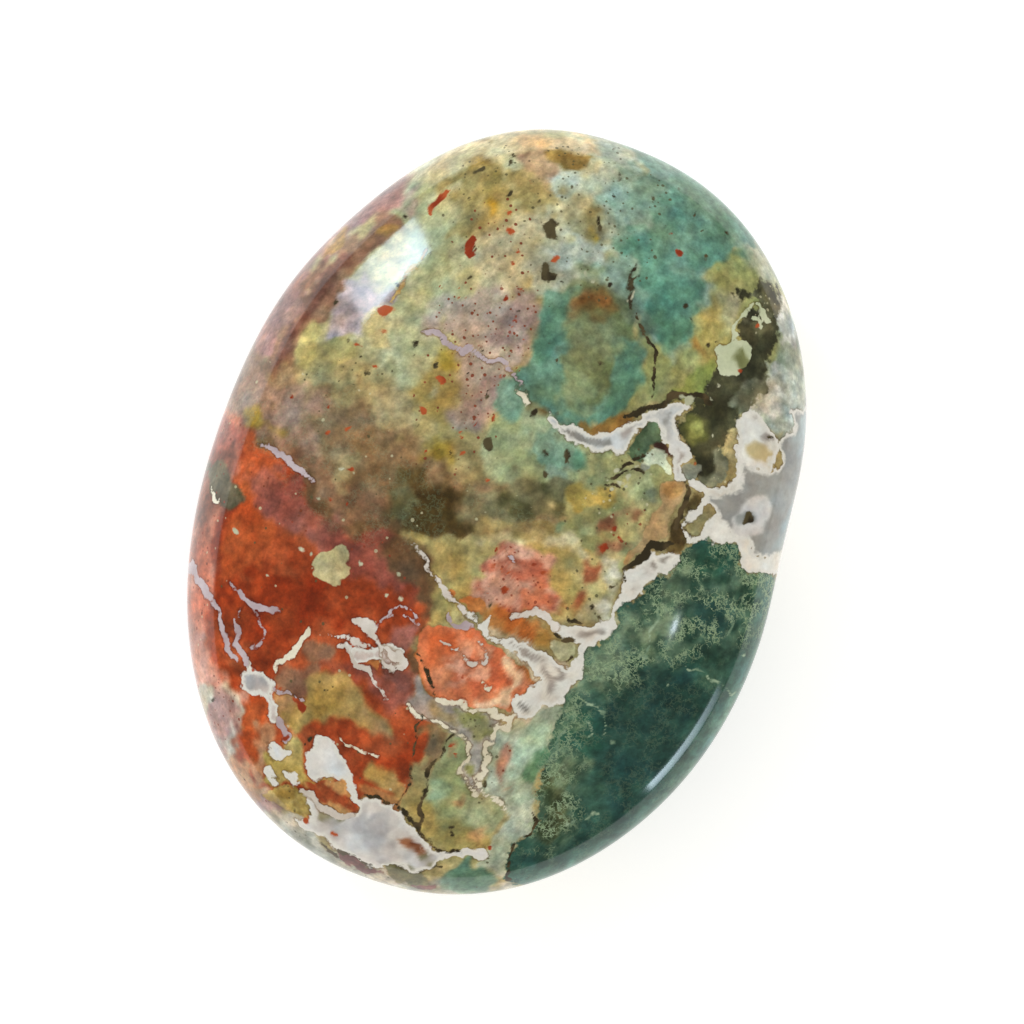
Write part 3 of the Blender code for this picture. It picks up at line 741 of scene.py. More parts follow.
LOW_DIP = (0.2, 0.55)
lay(stain, ground, LOW_DIP,
    ("low_rim", (80, 77, 70), (71, 68, 60), (0.4, 0.4), [(-21, -22.6), (-18, -22.5), (-16.4, -21.9),
     (-15.4, -22.4), (-14.4, -23.8), (-14, -26), (-13.2, -28), (-12, -28.9), (-10.6, -28.7), (-9.4, -29.7),
     (-7, -30), (-5, -30.5), (-4, -31.4), (0, -32), (6, -31.6), (10.6, -29.4), (12.2, -29), (12, -36),
     (-14, -35), (-26, -27)]),
    ("grey_rim", (68, 66, 58), (56, 56, 49), (0.7, 0.6, 0.9), [(-13, -29.2), (-11, -29.5), (-8, -30.8),
     (-4, -31.6), (0, -32.4), (0, -36), (-12, -34)], [(6.4, -30.4), (8, -31), (9.4, -30.6), (11, -29.8),
     (13, -31), (4, -35), (3.6, -32.4), (5.4, -31.6)]),
    ("low_mauve", (74, 58, 55), (65, 48, 45), (0.5, 0.6, 0.9), [(-16.6, -22.4), (-15, -22.8),
     (-14.3, -23.8), (-14.7, -24.6), (-15.6, -25), (-15.3, -26.2), (-14.6, -26.8), (-15.2, -27.4),
     (-16.6, -25.6), (-17.1, -24)], [(-12.4, -29.3), (-10.6, -29.6), (-9.6, -30.6), (-11, -31),
     (-13, -30.4)]),
    ("low_light", (83, 79, 73), (77, 71, 63), (0.4, 0.3), [(-15.3, -24.4), (-14.5, -24.4), (-13.9, -26),
     (-13.5, -27.6), (-14.4, -27.8), (-15, -26.2)]),
    ("low_tan", (76, 60, 46), (68, 48, 33), (0.35, 0.4, 0.85), [(-14.2, -27.7), (-13.2, -27.6),
     (-11.4, -28.7), (-10.2, -28.6), (-10.6, -29.5), (-12.4, -29.6)], [(-12.9, -23.4), (-11.8, -23.2),
     (-11.2, -24.4), (-11.4, -26.6), (-10.9, -28.2), (-11.4, -28.4), (-12, -26), (-12.8, -24.6)]),
    ("ochre_low", (72, 60, 37), (63, 51, 27), (0.35, 0.3), [(-9.9, -18.6), (-9.2, -17.7), (-8, -17.4),
     (-7, -17.5), (-6, -18), (-5, -18.6), (-4.4, -19.2), (-3, -19.8), (-1.8, -20.3), (-1.4, -20.9),
     (-3, -20.9), (-5, -20.8), (-6.4, -21), (-7.5, -21.4), (-8.3, -22), (-9, -22.6), (-9.7, -23.3),
     (-10.5, -23.2), (-10.9, -22.2), (-9.8, -21.2), (-10, -20)]),
    ("fawn", (72, 59, 42), (63, 47, 32), (0.6, 0.5, 0.85), [(-4.8, -19), (-3, -19.9), (-1.8, -20.4),
     (-1.2, -20.9), (-2.6, -21.2), (-4.4, -20.8), (-5.4, -20)]),
    ("ochre_shade", (66, 54, 30), (58, 46, 22), (0.7, 0.5, 0.85), [(-9.2, -19.6), (-7.8, -18.6), (-7, -20),
     (-7.6, -21.4), (-9.4, -21.8)]),
    ("khaki_low", (76, 68, 44), (66, 57, 30), (0.25, 0.35), [(-10.2, -23.8), (-9.2, -24), (-8.4, -24.4),
     (-8, -25.8), (-7, -26.3), (-5.4, -26.2), (-6.6, -27.2), (-7.8, -27.8), (-9.6, -28), (-11, -27.8),
     (-11.5, -26), (-10.6, -24.8)]),
    ("yellow_low", (76, 62, 40), (66, 52, 28), (0.3, 0.3), [(-3.3, -24.1), (-2.4, -23.3), (-0.8, -23.2),
     (0.4, -23.8), (0.8, -24.8), (0.5, -26), (-0.6, -25.9), (0, -25.2), (-1.6, -24.9), (-2.8, -24.7)]),
    ("tan_low", (74, 54, 34), (64, 42, 24), (0.2, 0.3, 0.9), [(-3, -25.4), (-1.6, -25.2), (0, -25.5),
     (0.6, -25.9), (-1, -26.1), (-2.8, -25.9)]),
    ("brown_wedge", (58, 47, 34), (48, 37, 24), (0.25, 0.3), [(0.1, -18.3), (1.4, -18.5), (2.8, -18.4),
     (2.7, -19.6), (2.5, -20.8), (2.1, -22), (2, -23), (1.2, -23), (1.6, -21.6), (1.2, -20), (0.3, -19.6)]),
    ("olive_wedge", (66, 60, 41), (55, 49, 30), (0.25, 0.3), [(0.6, -22.6), (1.3, -22), (2.1, -22.4),
     (2.2, -24), (2.6, -26.2), (2.8, -27.6), (1.8, -26.8), (0.7, -25.9), (1, -24.6)]),
    ("dark_wedge", (47, 42, 33), (40, 34, 25), (0.3, 0.4, 0.85), [(1.5, -20), (2.2, -19.8), (2.6, -20.4),
     (2.1, -21.4), (1.6, -21.4)]),
    ("bowl", (66, 66, 49), (57, 59, 40), (0.15, 0.2), [(2.9, -18.4), (4, -18.6), (4.6, -19.3), (4.8, -20.3),
     (4.3, -21), (4.4, -21.8), (5.2, -22.3), (5.5, -22.9), (6.6, -23), (9.1, -23.3), (9.3, -24.3),
     (9.1, -25.5), (8.7, -26.6), (8, -27.4), (7, -28), (5.5, -28.3), (4, -28.3), (2.9, -27.6), (2.6, -26.4),
     (2.1, -23.4), (2.4, -21.2)]),
    ("bowl_low", (71, 65, 43), (61, 54, 30), (0.8, 0.7, 0.9), [(2.6, -25.4), (4, -25.2), (5.4, -26),
     (7.6, -26.4), (9.4, -25.6), (9, -28.6), (3, -29)]),
    ("bowl_teal", (58, 68, 56), (50, 60, 47), (0.5, 0.5, 0.85), [(2.3, -23.2), (3.4, -23), (4, -24),
     (3.6, -25), (2.5, -25)]),
    ("bowl_red", (74, 52, 36), (66, 42, 27), (0.4, 0.4, 0.6), [(2.9, -18.6), (3.6, -18.8), (3.6, -20),
     (2.9, -20.4)], [(4.8, -24), (5.6, -23.8), (5.6, -24.3), (5, -24.4)], [(7.4, -25.2), (8.6, -25),
     (8.4, -26), (7.2, -26.7), (6.8, -26.5)]),
    ("channel", (69, 64, 58), (61, 55, 50), (0.15, 0.15), [(-1.8, -15.4), (-1.2, -15.4), (-0.4, -16.3),
     (1, -16.2), (2.8, -16.2), (4, -16.5), (4.6, -16), (6.2, -16.2), (6.8, -17), (6.4, -18.4), (5.7, -19),
     (6.4, -20), (6.2, -22), (6.6, -22.8), (5.6, -22.8), (4.4, -21.8), (4.3, -21), (4.8, -20.2),
     (4.4, -19.2), (3.6, -18.6), (0, -18.4), (-1.6, -18), (-1.3, -17)]),
    ("lilac_channel", (67, 61, 57), (58, 52, 48), (0.3, 0.25, 0.9), [(-1.7, -15.5), (-1.2, -15.5),
     (-0.6, -16.5), (0.8, -16.9), (0.4, -17.8), (-0.6, -18.1), (-1.5, -17.7), (-1.2, -16.7)]),
    ("tan_channel", (72, 62, 46), (64, 53, 36), (0.4, 0.4, 0.9), [(0.6, -16.8), (2.6, -16.6), (3.2, -17.4),
     (2.8, -18.3), (0.8, -18.2)]),
    ("green_channel", (60, 58, 38), (48, 47, 25), (0.35, 0.5, 0.9, True), [(3.2, -16.9), (4.4, -16.3),
     (5.6, -16.6), (5.8, -17.6), (5.2, -18.4), (3.8, -18)], [(4.9, -20.8), (5.5, -20.6), (5.6, -21.2),
     (5.1, -21.4)]),
    ("mint_right", (74, 75, 65), (64, 67, 56), (0.25, 0.3), [(7.2, -15.6), (8.6, -14.4), (10.8, -13.2),
     (11.2, -16), (11.2, -21), (11.6, -22.4), (12.2, -24), (11.4, -25.6), (10.9, -27), (11.1, -28.7),
     (9.6, -28.8), (8.6, -28.6), (8.9, -27), (9.3, -25), (9.2, -23.4), (7, -22.8), (6.2, -22.4),
     (6.3, -20.4), (5.7, -19.1), (6.2, -18), (6.2, -17), (7.2, -16.8)]),
    ("mint_band", (68, 75, 64), (60, 68, 56), (0.5, 0.4, 0.9), [(8.2, -15.6), (10.4, -15), (10.9, -16.6),
     (10, -17.6), (9.4, -19.4), (9.4, -21), (10.4, -22.4), (9, -22.2), (8.4, -20.4), (8.4, -18)]),
    ("red_stripe", (74, 54, 43), (64, 41, 32), (0.35, 0.35, 0.85), [(7.3, -18, 0.4), (7.7, -18.9, 0.6),
     (7.7, -20, 0.5), (7.8, -21, 0.5), (8.4, -21.7, 0.4), (9.2, -21.7, 0.3)]),
    ("green_patch", (44, 57, 42), (34, 47, 33), (0.3, 0.3), [(10, -17.5), (10.8, -16.9), (11.4, -17.6),
     (11.2, -20), (11, -20.8), (10.2, -20.8), (9.6, -20.1), (9.4, -19), (9.6, -18.2)]),
    ("green_oval", (46, 56, 46), (33, 46, 37), (0.25, 0.3, 0.95), [(6.4, -30.3), (6.8, -29.4), (7.5, -28.7),
     (8.6, -28.7), (10, -28.8), (11, -29), (10.2, -30.4), (8.4, -31), (7, -31.2)]))
strew(RED, drawn["low_mauve"], 0.5)
strew(DARK, drawn["low_rim"], 0.15)
strew(DARK, drawn["green_channel"], 0.7)
strew(DARK, marks(LOW_DIP, [(6.2, -17), (7.6, -17), (7.4, -22.6), (6.3, -22.6)]), 0.5)
strew(DARK, marks(LOW_DIP, [(8.8, -26.6), (9.8, -26.8), (9.8, -28.4), (8.8, -28.4)]), 0.6)
strew(RED, drawn["red_stripe"], 0.5, 0.4)

# The moss jasper. Dark blue-green jasper fills the right side, full of fine mossy growths of a
# green mineral, paler and denser along its border. A darker, browner arm of it runs up the right.

MOSS_DIP = (-0.3, 0.2)
moss = blank()
lay(inlay, moss, MOSS_DIP,
    ("moss_body", (23, 37, 31), (13, 26, 22), (), [(30, 3), (24.3, 3), (23.5, 3.2), (22, 2.6), (21, 2.9),
     (20.4, 3.5), (20.1, 4.2), (19.5, 4.6), (18.5, 4.2), (17.5, 4), (16.8, 3.6), (16, 3), (15.4, 2.4),
     (15.6, 1), (15.3, 0.2), (14.7, 0), (14.2, -0.4), (14, -1.2), (13.6, -2.2), (13.1, -3), (12.4, -3.5),
     (12.3, -4.2), (12.6, -5), (12.2, -5.9), (12, -6.8), (11.6, -7.5), (11.1, -8.3), (10.8, -9),
     (11.1, -10), (11.4, -11), (10.7, -12.2), (10.6, -13), (10.8, -14.5), (10.9, -16), (11.2, -17.6),
     (11, -18.6), (11.4, -20.2), (11.2, -21.2), (11.9, -22), (12.1, -23.2), (12.1, -24.2), (11.6, -25),
     (11, -26), (10.9, -27.2), (11, -28.5), (11.6, -29), (12.6, -29), (15, -31), (24, -27), (30, -12)]),
    ("brown_arm", (30, 29, 20), (19, 19, 12), (), [(13.9, 25.9), (14.3, 26.1), (15.2, 26), (15.9, 25.6),
     (16.4, 24.9), (16.6, 24.3), (16.5, 23.4), (16.8, 22.8), (17.2, 22), (17.4, 21.2), (17.3, 20),
     (17.4, 19), (17.6, 18), (17.7, 17.3), (17.3, 16.2), (16.6, 14.8), (16.4, 13.6), (16.2, 12.4),
     (16.2, 11.4), (16.9, 10.6), (17.2, 9.6), (16.9, 8.7), (16, 8.1), (15.2, 8.2), (14.4, 9.4),
     (13.4, 10.2), (12.6, 11), (11.9, 11.8), (12, 13), (12.6, 13.8), (11.4, 14.1), (10.4, 13.4),
     (9.6, 12.4), (8.6, 11.9), (8.5, 12.3), (9.6, 12.9), (10, 13.6), (10.6, 14.6), (11.4, 14.9),
     (12.9, 14.9), (13, 16), (13.1, 17), (13.4, 17.8), (14.4, 18.4), (14.9, 19.4), (14.9, 20.4), (14, 20.8),
     (13.6, 21.6), (13.8, 22.6), (14.4, 23.4), (15, 23.9), (14.4, 24.4), (13.2, 24.2), (12.1, 23.9),
     (12.2, 24.2), (13, 24.7), (13.7, 25.1)]))
lay(stain, moss, MOSS_DIP,
    ("lacy", (35, 44, 35), (16, 26, 20), (2.0, 0.8, 0.8, True), [(15.4, 2.4), (18, 4.4), (20, 4.6),
     (24.6, 3.2), (24.6, -1), (22, -4), (19, -6.6), (16, -9), (14, -11.4), (12, -14), (11.2, -17),
     (14, -19), (15, -22), (14, -25.6), (12, -25), (10.8, -20), (10.8, -12), (12, -6), (14, -1.4)]),
    ("pale_border", (46, 53, 42), (29, 38, 30), (0.9, 1.4, 0.9, True), [(15.4, 1.6), (15, 0), (14, -1),
     (13.4, -2.8), (12.4, -4), (12.6, -5.4), (12, -7), (11, -8.6), (11.2, -10.6), (10.9, -12.4),
     (12.4, -12), (14, -10.8), (15, -8.4), (15.6, -6), (16, -4), (16.6, -2), (16.8, 0.4)]),
    ("moss_green", (22, 39, 32), (15, 31, 25), (0.9, 0.7, 0.85), [(11.4, -14), (12.8, -13), (15, -14),
     (15.6, -15.4), (14, -17), (11.8, -17)], [(16.6, 3.4), (19, 3.8), (19.6, 2), (17.6, 0.6), (15.8, 1)]),
    ("moss_deep", (16, 29, 26), (10, 21, 19), (1.2, 0.9, 0.9), [(16.6, -8), (19, -8), (21.6, -10),
     (20.8, -14), (19, -17), (19.6, -20), (18, -21), (16.4, -17), (15.4, -13), (15.4, -10)], [(18.4, -0.6),
     (20.6, -0.4), (21.4, -3), (20, -4), (18.4, -3)]),
    ("moss_olive", (34, 37, 25), (20, 25, 16), (0.5, 0.8, 0.9, True), [(11.2, -20.4), (12, -19.9),
     (13.6, -20.2), (14.6, -21.6), (14.4, -24), (13.8, -25.4), (12.4, -24.6), (12.2, -22.4)]),
    # A paler blue-green band along the right rim: the moss's colour lightened by a painted reflection of
    # the white floor in the polished rim.
    ("moss_rim", (38, 54, 48), (27, 42, 38), (0.5, 0.35, 0.8), [(24, 3.4), (24.1, -2), (23.8, -8),
     (22.6, -13), (21.2, -17), (19.4, -21), (16.6, -24.8), (13.4, -28.2), (14, -33), (26, -28), (32, -10),
     (32, 3)]),
    ("moss_lacy", (50, 57, 44), (27, 36, 28), (0.5, 0.9, 0.7, True), [(11.1, -17.2), (12.4, -17.1),
     (14.2, -17.5), (14, -19), (13.2, -20), (12, -19.9), (11.2, -18.9)]),
    ("moss_seam", (54, 61, 48), (34, 44, 34), (0.4, 0.8, 0.6, True), [(14.6, -9.4, 0.3), (13.4, -10.8, 0.5),
     (12.2, -12, 0.6), (11.4, -13.6, 0.5), (11.1, -15.4, 0.6), (11.4, -17, 0.5)], [(15.1, -4.3, 0.2),
     (16, -3.8, 0.3), (16.6, -3, 0.4), (17.4, -2.6, 0.4)], [(15.4, -5, 0.3), (15.6, -6.4, 0.4),
     (15, -8, 0.4)]),
    ("arm_pale", (62, 63, 52), (44, 45, 36), (0.4, 1.0, 0.75, True), [(13, 24.5), (14.5, 24.6),
     (15.4, 24.3), (16, 23.5), (15.5, 22.9), (14.3, 23.3)], [(16.2, 11.6), (17.2, 11), (17.8, 9.6),
     (17.2, 8.4), (16, 8.2), (16, 9.8)], [(16.4, 17.4), (17.6, 17.2), (17.6, 16), (16.6, 15.6)]),
    ("arm_top", (43, 41, 29), (24, 23, 15), (0.7, 0.8, 0.8, True), [(14.2, 26), (15.6, 25.8), (16.4, 24.4),
     (16.4, 22.6), (15.6, 21), (14.4, 21.4), (14.6, 23.4)]),
    ("arm_olive", (46, 45, 24), (36, 35, 17), (0.4, 0.4, 0.95), [(12.2, 11.4), (12.2, 13), (13, 13.6),
     (13.8, 13), (14.4, 12), (14.2, 11.2), (13.2, 10.8)]),
    ("arm_yellow", (68, 66, 36), (58, 56, 28), (0.25, 0.4, 0.9, True), [(12.6, 11.5), (12.8, 12.6),
     (13.3, 12.9), (14, 12.2), (14, 11.4), (13.2, 11.1)]))
strew(LACE, drawn["moss_body"], 0.12)
strew(LACE, drawn["lacy"], 1.0, 1.5)
moss_fringe = marks(MOSS_DIP, [(10.9, -12), (12.4, -12.4), (13, -15), (14.2, -17), (14.4, -21), (15, -24),
    (13, -26.4), (11.4, -25), (10.9, -19)])
strew(LACE, moss_fringe, 0.8, 1.2)
strew(LACE, np.minimum(drawn["moss_lacy"], drawn["moss_olive"]), 1.0)
strew(PALE, np.minimum(drawn["arm_pale"], drawn["arm_top"]), 0.8)

# The silica. Late chalcedony sealed the broken rock: white veins and masses with rounded fronts
# on the right, and clear grey chalcedony in the last open spaces between them.

SILICA_DIP = (-0.15, -0.3)
silica = blank()
WHITE, WHITE_DEEP = (92, 90, 86), (85, 82, 77)
lay(stain, ground, SILICA_DIP,
    ("rim_green", (64, 67, 58), (52, 56, 47), (0.5, 0.6, 0.9, True), [(17.4, 24), (20, 27), (26, 22),
     (27, 12), (21, 14.4), (19.4, 15), (17.4, 15.8), (17.4, 20)]),
    ("pale_rim", (78, 80, 76), (62, 66, 62), (0.5, 0.6, 1.0, True), [(19.4, 17.6), (20.6, 18.4), (22, 18),
     (26, 20), (28, 12), (22, 13), (20.6, 15)]),
    ("green_rim", (78, 80, 74), (66, 68, 62), (0.5, 0.5, 0.9, True), [(17.6, 15.2), (17.8, 19.2),
     (19.2, 20.4), (21, 18.8), (21.2, 15.4), (19.4, 14.4)]),
    ("rim_white", (86, 86, 82), (70, 70, 64), (0.35, 0.7, 1.0, True), [(16.5, 24.3, 0.8), (17.3, 23.6, 1.1),
     (18, 22.6, 0.9), (17.8, 21.9, 0.5)], [(17.8, 21, 0.3), (17.9, 19.6, 0.9), (18.5, 18.4, 1.1),
     (18.9, 17.2, 1), (18.4, 16, 1.2), (17.3, 15.7, 0.8)]))
lay(inlay, silica, SILICA_DIP,
    ("grey_pool", (65, 65, 63), (59, 58, 56), (), [(17.2, 11.4), (18.2, 11.2), (20.2, 10.9), (20.9, 11.8),
     (20.4, 13.6), (21, 15.2), (20.8, 17), (26, 16), (28, 6), (23.6, 4.6), (22, 4), (20.8, 4.8),
     (19.2, 5.2), (17.4, 6.4), (16, 7.4), (17, 8), (18.2, 9), (18.4, 10.2)]),
    ("white_right", WHITE, WHITE_DEEP, (), [(15.8, 3.4), (16.5, 4), (16.8, 5.2), (17.4, 6.2), (18.2, 6.5),
     (18.9, 6.2), (19, 5.5), (19.6, 5.1), (20.9, 5.1), (21.4, 4.4), (22, 4.1), (22.8, 4.4), (23.4, 5.1),
     (24.6, 5.2), (24.8, 3.2), (23.5, 3.2), (22, 2.6), (21, 2.9), (20.2, 4), (19.5, 4.6), (18.5, 4.2),
     (17.5, 4), (16.6, 3.5)], [(17, 12.2, 0.5), (17.8, 11.2, 0.7), (18.4, 10, 0.8), (18.2, 8.9, 0.8),
     (17.2, 8, 0.8), (16, 7.9, 0.8), (14.9, 8, 0.8), (14.5, 8, 0.5)], [(16, 7.8, 0.7), (16.1, 6.8, 0.5),
     (15.9, 5.8, 0.5), (15.3, 5.2, 0.4), (15.2, 4.2, 0.3), (15.9, 3.6, 0.6)], [(17, 15.5), (18, 15.2),
     (19, 14.8), (19.6, 13.9), (20.3, 13.2), (20.2, 12), (20.6, 11.2), (20.4, 10.8), (19.4, 10.8),
     (18.5, 10.6), (17.9, 10.9), (17.6, 11.7), (17.2, 12.6), (16.7, 13.3), (16.4, 14)]),
    ("white_vein", (85, 84, 82), (76, 75, 73), (), [(1.3, 9.3), (1.8, 8.6), (2.5, 8.3), (3.2, 8.1),
     (3.9, 7.6), (5, 7.5), (6.2, 7.6), (6.8, 7.9), (8, 8.1), (8.4, 9), (8.6, 10), (9, 11.2), (9.8, 11.5),
     (10.4, 11.2), (10.7, 10.6), (11.6, 10), (12.2, 9.2), (12.6, 8.2), (13.3, 7.8), (14.6, 8), (14, 8.2),
     (13.1, 9), (13.2, 9.6), (13.5, 10.3), (12.9, 10.8), (12.2, 11), (11.8, 11.6), (11.7, 12.4),
     (11.9, 13.4), (12.6, 13.9), (11, 13.9), (10.4, 13.3), (9.9, 12.4), (9, 12), (8.2, 11.2), (7.4, 10.3),
     (6.5, 9.5), (5, 9), (3.4, 9.2), (2.6, 9), (1.8, 9.5)]))
lay(stain, ground, SILICA_DIP,
    ("cream_bed", (88, 82, 71), (78, 69, 56), (0.3, 0.3, 0.9), [(2.6, -9.6), (4.4, -9.2), (6.4, -9.4),
     (8, -9.5), (10, -10), (10.6, -12), (9.4, -14.2), (8.2, -16), (6.6, -15.8), (6.4, -14.6), (7.6, -13.4),
     (7.2, -11.9), (5.4, -11), (3.4, -10.5)]))
lay(inlay, silica, SILICA_DIP,
    ("white_low", WHITE, WHITE_DEEP, (), [(7.6, -7), (8.6, -6.9), (9.6, -6.8), (10.6, -6.4), (11.5, -5.6),
     (12.3, -5.4), (12.3, -6.4), (11.6, -7.4), (11.1, -8.6), (11.2, -9.8), (11.5, -10.8), (10.9, -11.5),
     (10.7, -12.2), (10.8, -13), (10, -13.6), (9.4, -13.8), (8.9, -14.5), (8.4, -15.4), (7.6, -15.8),
     (6.9, -15.4), (6.7, -14.4), (7.3, -13.8), (7.7, -13.1), (7.6, -12.5), (8.1, -12.1), (7.7, -11.6),
     (7, -11.1), (5.9, -10.8), (4.6, -10.5), (3.2, -10.3), (2, -9.8), (0.6, -9.3), (-0.4, -8.8), (0.8, -9),
     (2, -9.4), (2.1, -8.2), (2.5, -9.4), (3.6, -9.9), (4.7, -9.3), (5.4, -9.6), (6.8, -9.6), (7.8, -9.6),
     (8.6, -10.1), (9.6, -10.3), (10.1, -9.9), (10.3, -9), (10.2, -8.1), (9.2, -7.9), (8.1, -7.7)],
     [(13.3, 1), (14.4, 1.7), (15.5, 1.9), (15.6, 0.8), (14.8, 0.1), (14.2, -0.3), (14.1, -1), (13.7, -1.8),
     (13.4, -2.5), (12.5, -3.3), (11.9, -2.4), (11.5, -1.1), (12.3, -0.6), (13, 0.1)], [(13, -2.6, 0.7),
     (12.4, -3.5, 0.5), (12, -4.4, 0.4), (12.1, -5.4, 0.6)]),
    ("white_bottom", (89, 87, 85), (81, 79, 77), (), [(-2.9, -26.4), (-1.8, -26.2), (0, -26.2),
     (1.5, -26.7), (2.3, -27.3), (3.2, -27.9), (3.9, -28.5), (5.2, -28.4), (7.2, -27.9), (8.6, -27),
     (9, -28), (7.2, -28.5), (5.6, -29), (5, -30), (4.2, -30.9), (3, -30.8), (1.5, -31.1), (1.1, -31.8),
     (-1, -31.7), (-3, -31.5), (-4.5, -31), (-7, -30.6), (-6.6, -30.2), (-5.9, -29.6), (-6.6, -28.9),
     (-7.6, -28), (-7.2, -27.7), (-5.6, -28), (-4, -28.5), (-2.7, -28.2), (-2.7, -27.2), (-3.2, -26.8)],
     [(-8, -23), (-7.3, -22.8), (-6.6, -22.7), (-6, -23.2), (-5.2, -23.9), (-4.5, -24.6), (-3.4, -26),
     (-2.9, -26.6), (-3.4, -27), (-4.2, -25.9), (-4.8, -25.6), (-5.4, -26.1), (-6.5, -26.2), (-7.6, -26.1),
     (-8, -25.4), (-8, -24.6), (-7.7, -23.9)], [(-11.5, -25.3), (-11.2, -24.9), (-10, -24.8), (-9.2, -25),
     (-9.7, -25.4), (-9.9, -26), (-10.8, -25.9)], [(-11.1, -26.8), (-10.6, -26.6), (-10.3, -27.2),
     (-9.6, -27.6), (-10.2, -27.9), (-10.8, -27.3)], [(-9.4, -26.6), (-8.6, -26.5), (-8.1, -27.2),
     (-8.2, -27.7), (-8.8, -27.3)]),
    ("white_left", (84, 80, 78), (76, 71, 69), (), [(-15.8, -19), (-15.3, -18.9), (-15, -19.4),
     (-14.4, -19.8), (-13.8, -19.9), (-13, -19.7), (-12.6, -20), (-12.8, -20.4), (-12.6, -21), (-12, -21.6),
     (-11.6, -22.2), (-11.2, -22.8), (-11.5, -23.2), (-12.2, -23.1), (-12.6, -22.5), (-12.9, -21.7),
     (-13.3, -21.3), (-14, -21.4), (-14.9, -21.5), (-15.3, -21), (-15.6, -20.3), (-15.3, -19.7)]),
    ("splash", (82, 75, 71), (70, 60, 56), (True,), [(-8.8, -15.1), (-7.4, -14.5), (-6.2, -14.3),
     (-5.5, -13.8), (-4.6, -13.4), (-3.6, -13.8), (-3.2, -15), (-4.2, -15.7), (-5.2, -15.1), (-6.2, -15.5),
     (-7.2, -15.9), (-7.6, -15.3)]))
lay(stain, silica, SILICA_DIP,
    ("grey_seams", (70, 66, 63), (60, 56, 52), (0.2, 0.15), [(4.5, -10), (5.2, -9.8), (6.2, -9.9),
     (7.4, -10.1), (7.9, -10.5), (7.1, -10.8), (5.8, -10.6), (4.9, -10.4)], [(8, -10.6, 0.3),
     (8.3, -11.1, 0.5), (8.8, -11.5, 0.6), (9.2, -12, 0.4), (9.4, -12.6, 0.3)], [(9.1, -11.7, 0.4),
     (9.7, -11.4, 0.4), (9.6, -10.8, 0.3), (9, -10.4, 0.25), (8.4, -10.3, 0.25)], [(10.2, -7.4, 0.15),
     (10.9, -7, 0.3), (11.6, -6.3, 0.2)], [(7.6, 9.2), (8.2, 9.9), (8.4, 10.8), (7.9, 10.4), (7.3, 9.7)],
     [(12.2, 10.2, 0.3), (12.6, 9.6, 0.5), (12.9, 9, 0.4)], [(12.6, -1.4, 0.3), (13.2, -1.2, 0.3),
     (13.5, -0.6, 0.2)], (13.7, 0.2, 0.3), (14.5, 1, 0.35), (12.8, -2.1, 0.25), (12.2, -2.6, 0.2),
     (14.9, 1.3, 0.2), (19.2, 13.7, 0.45), (17.9, 15, 0.2)),
    ("dark_cores", (62, 60, 57), (48, 46, 43), (0.2, 0.2), [(2.4, 8.8, 0.3), (3.4, 8.5, 0.5),
     (4.6, 8.2, 0.8), (5.6, 8.2, 0.7), (6.6, 8.5, 0.4)], [(10.6, 11.9, 0.2), (11, 12.4, 0.35),
     (11, 13, 0.2)], [(7.4, -14.6, 0.2), (7.8, -14.9, 0.25)]),
    ("silica_ring", (88, 86, 84), (82, 80, 78), (0.2, 0.2), [(19.1, 8), (19.8, 8.5), (20.8, 8.9),
     (21.4, 8.6), (21.4, 7.6), (21.2, 6.6), (21.3, 5.8), (20.8, 5.2), (20, 5), (19.4, 5.3), (19.1, 6.4)]),
    ("ring_heart", (62, 62, 60), (50, 50, 48), (0.3, 0.3), (20, 6.9, 0.5)),
    ("gold_scrap", (78, 70, 52), (68, 58, 38), (0.4, 0.35), [(17.5, 12.6), (18, 12.7), (18.6, 12.9),
     (19.3, 12.6), (20.2, 11.6), (19.8, 11.4), (18.9, 11.6), (18.2, 11.9)]),
    ("grey_hearts", (68, 67, 68), (60, 60, 61), (0.4, 0.4, 0.85), (-14.7, -20.3, 0.35), (-13.7, -20.2, 0.3),
     (-0.7, -28.2, 0.8), (5.6, -28.9, 0.4)),
    ("blue_silica", (70, 76, 77), (62, 69, 70), (0.9, 0.5, 0.9), [(21.6, 16), (23, 12), (23.6, 8),
     (24.2, 5), (28, 6), (26, 18)], [(19.6, 17.4, 0.6), (20.4, 17.8, 0.6), (21, 18.4, 0.6)]))

# Scraps with sharp borders. Each was a piece of other jasper before the silica cemented it: a
# coral orb with a peach rim, orange and cream scraps, and rounded pebbles in the rubble.

CLAST_DIP = (0.1, -0.45)
clasts = blank()
lay(inlay, clasts, CLAST_DIP,
    ("orange_scraps", (80, 52, 28), (72, 40, 19), (), [(-1, -8.4), (-0.2, -8), (1.2, -7.4), (1.7, -7.8),
     (1.6, -8.7), (0.8, -9), (0, -8.6)], [(-1.7, -7.6), (-1.3, -7.4), (-1, -7.8), (-1.4, -8.1)],
     [(-6.5, -15.3), (-5.8, -15), (-5.2, -15.2), (-5, -15.7), (-5.7, -16)]),
    ("orb", (84, 53, 37), (78, 42, 27), (), [(-2.8, -12), (-2.4, -11.1), (-1.5, -10.7), (-0.5, -10.3),
     (1, -10.1), (2.3, -10.1), (3.2, -10.6), (4.2, -10.9), (5.6, -11.2), (7, -11.5), (7.7, -12.2),
     (7.8, -13), (7.4, -13.8), (6.9, -14.6), (6.8, -15.5), (5, -15.8), (4, -16.1), (2.7, -16.2),
     (0.6, -16.4), (-0.2, -16.4), (-0.8, -15.9), (-1.5, -15), (-2.3, -14), (-2.7, -13)]))
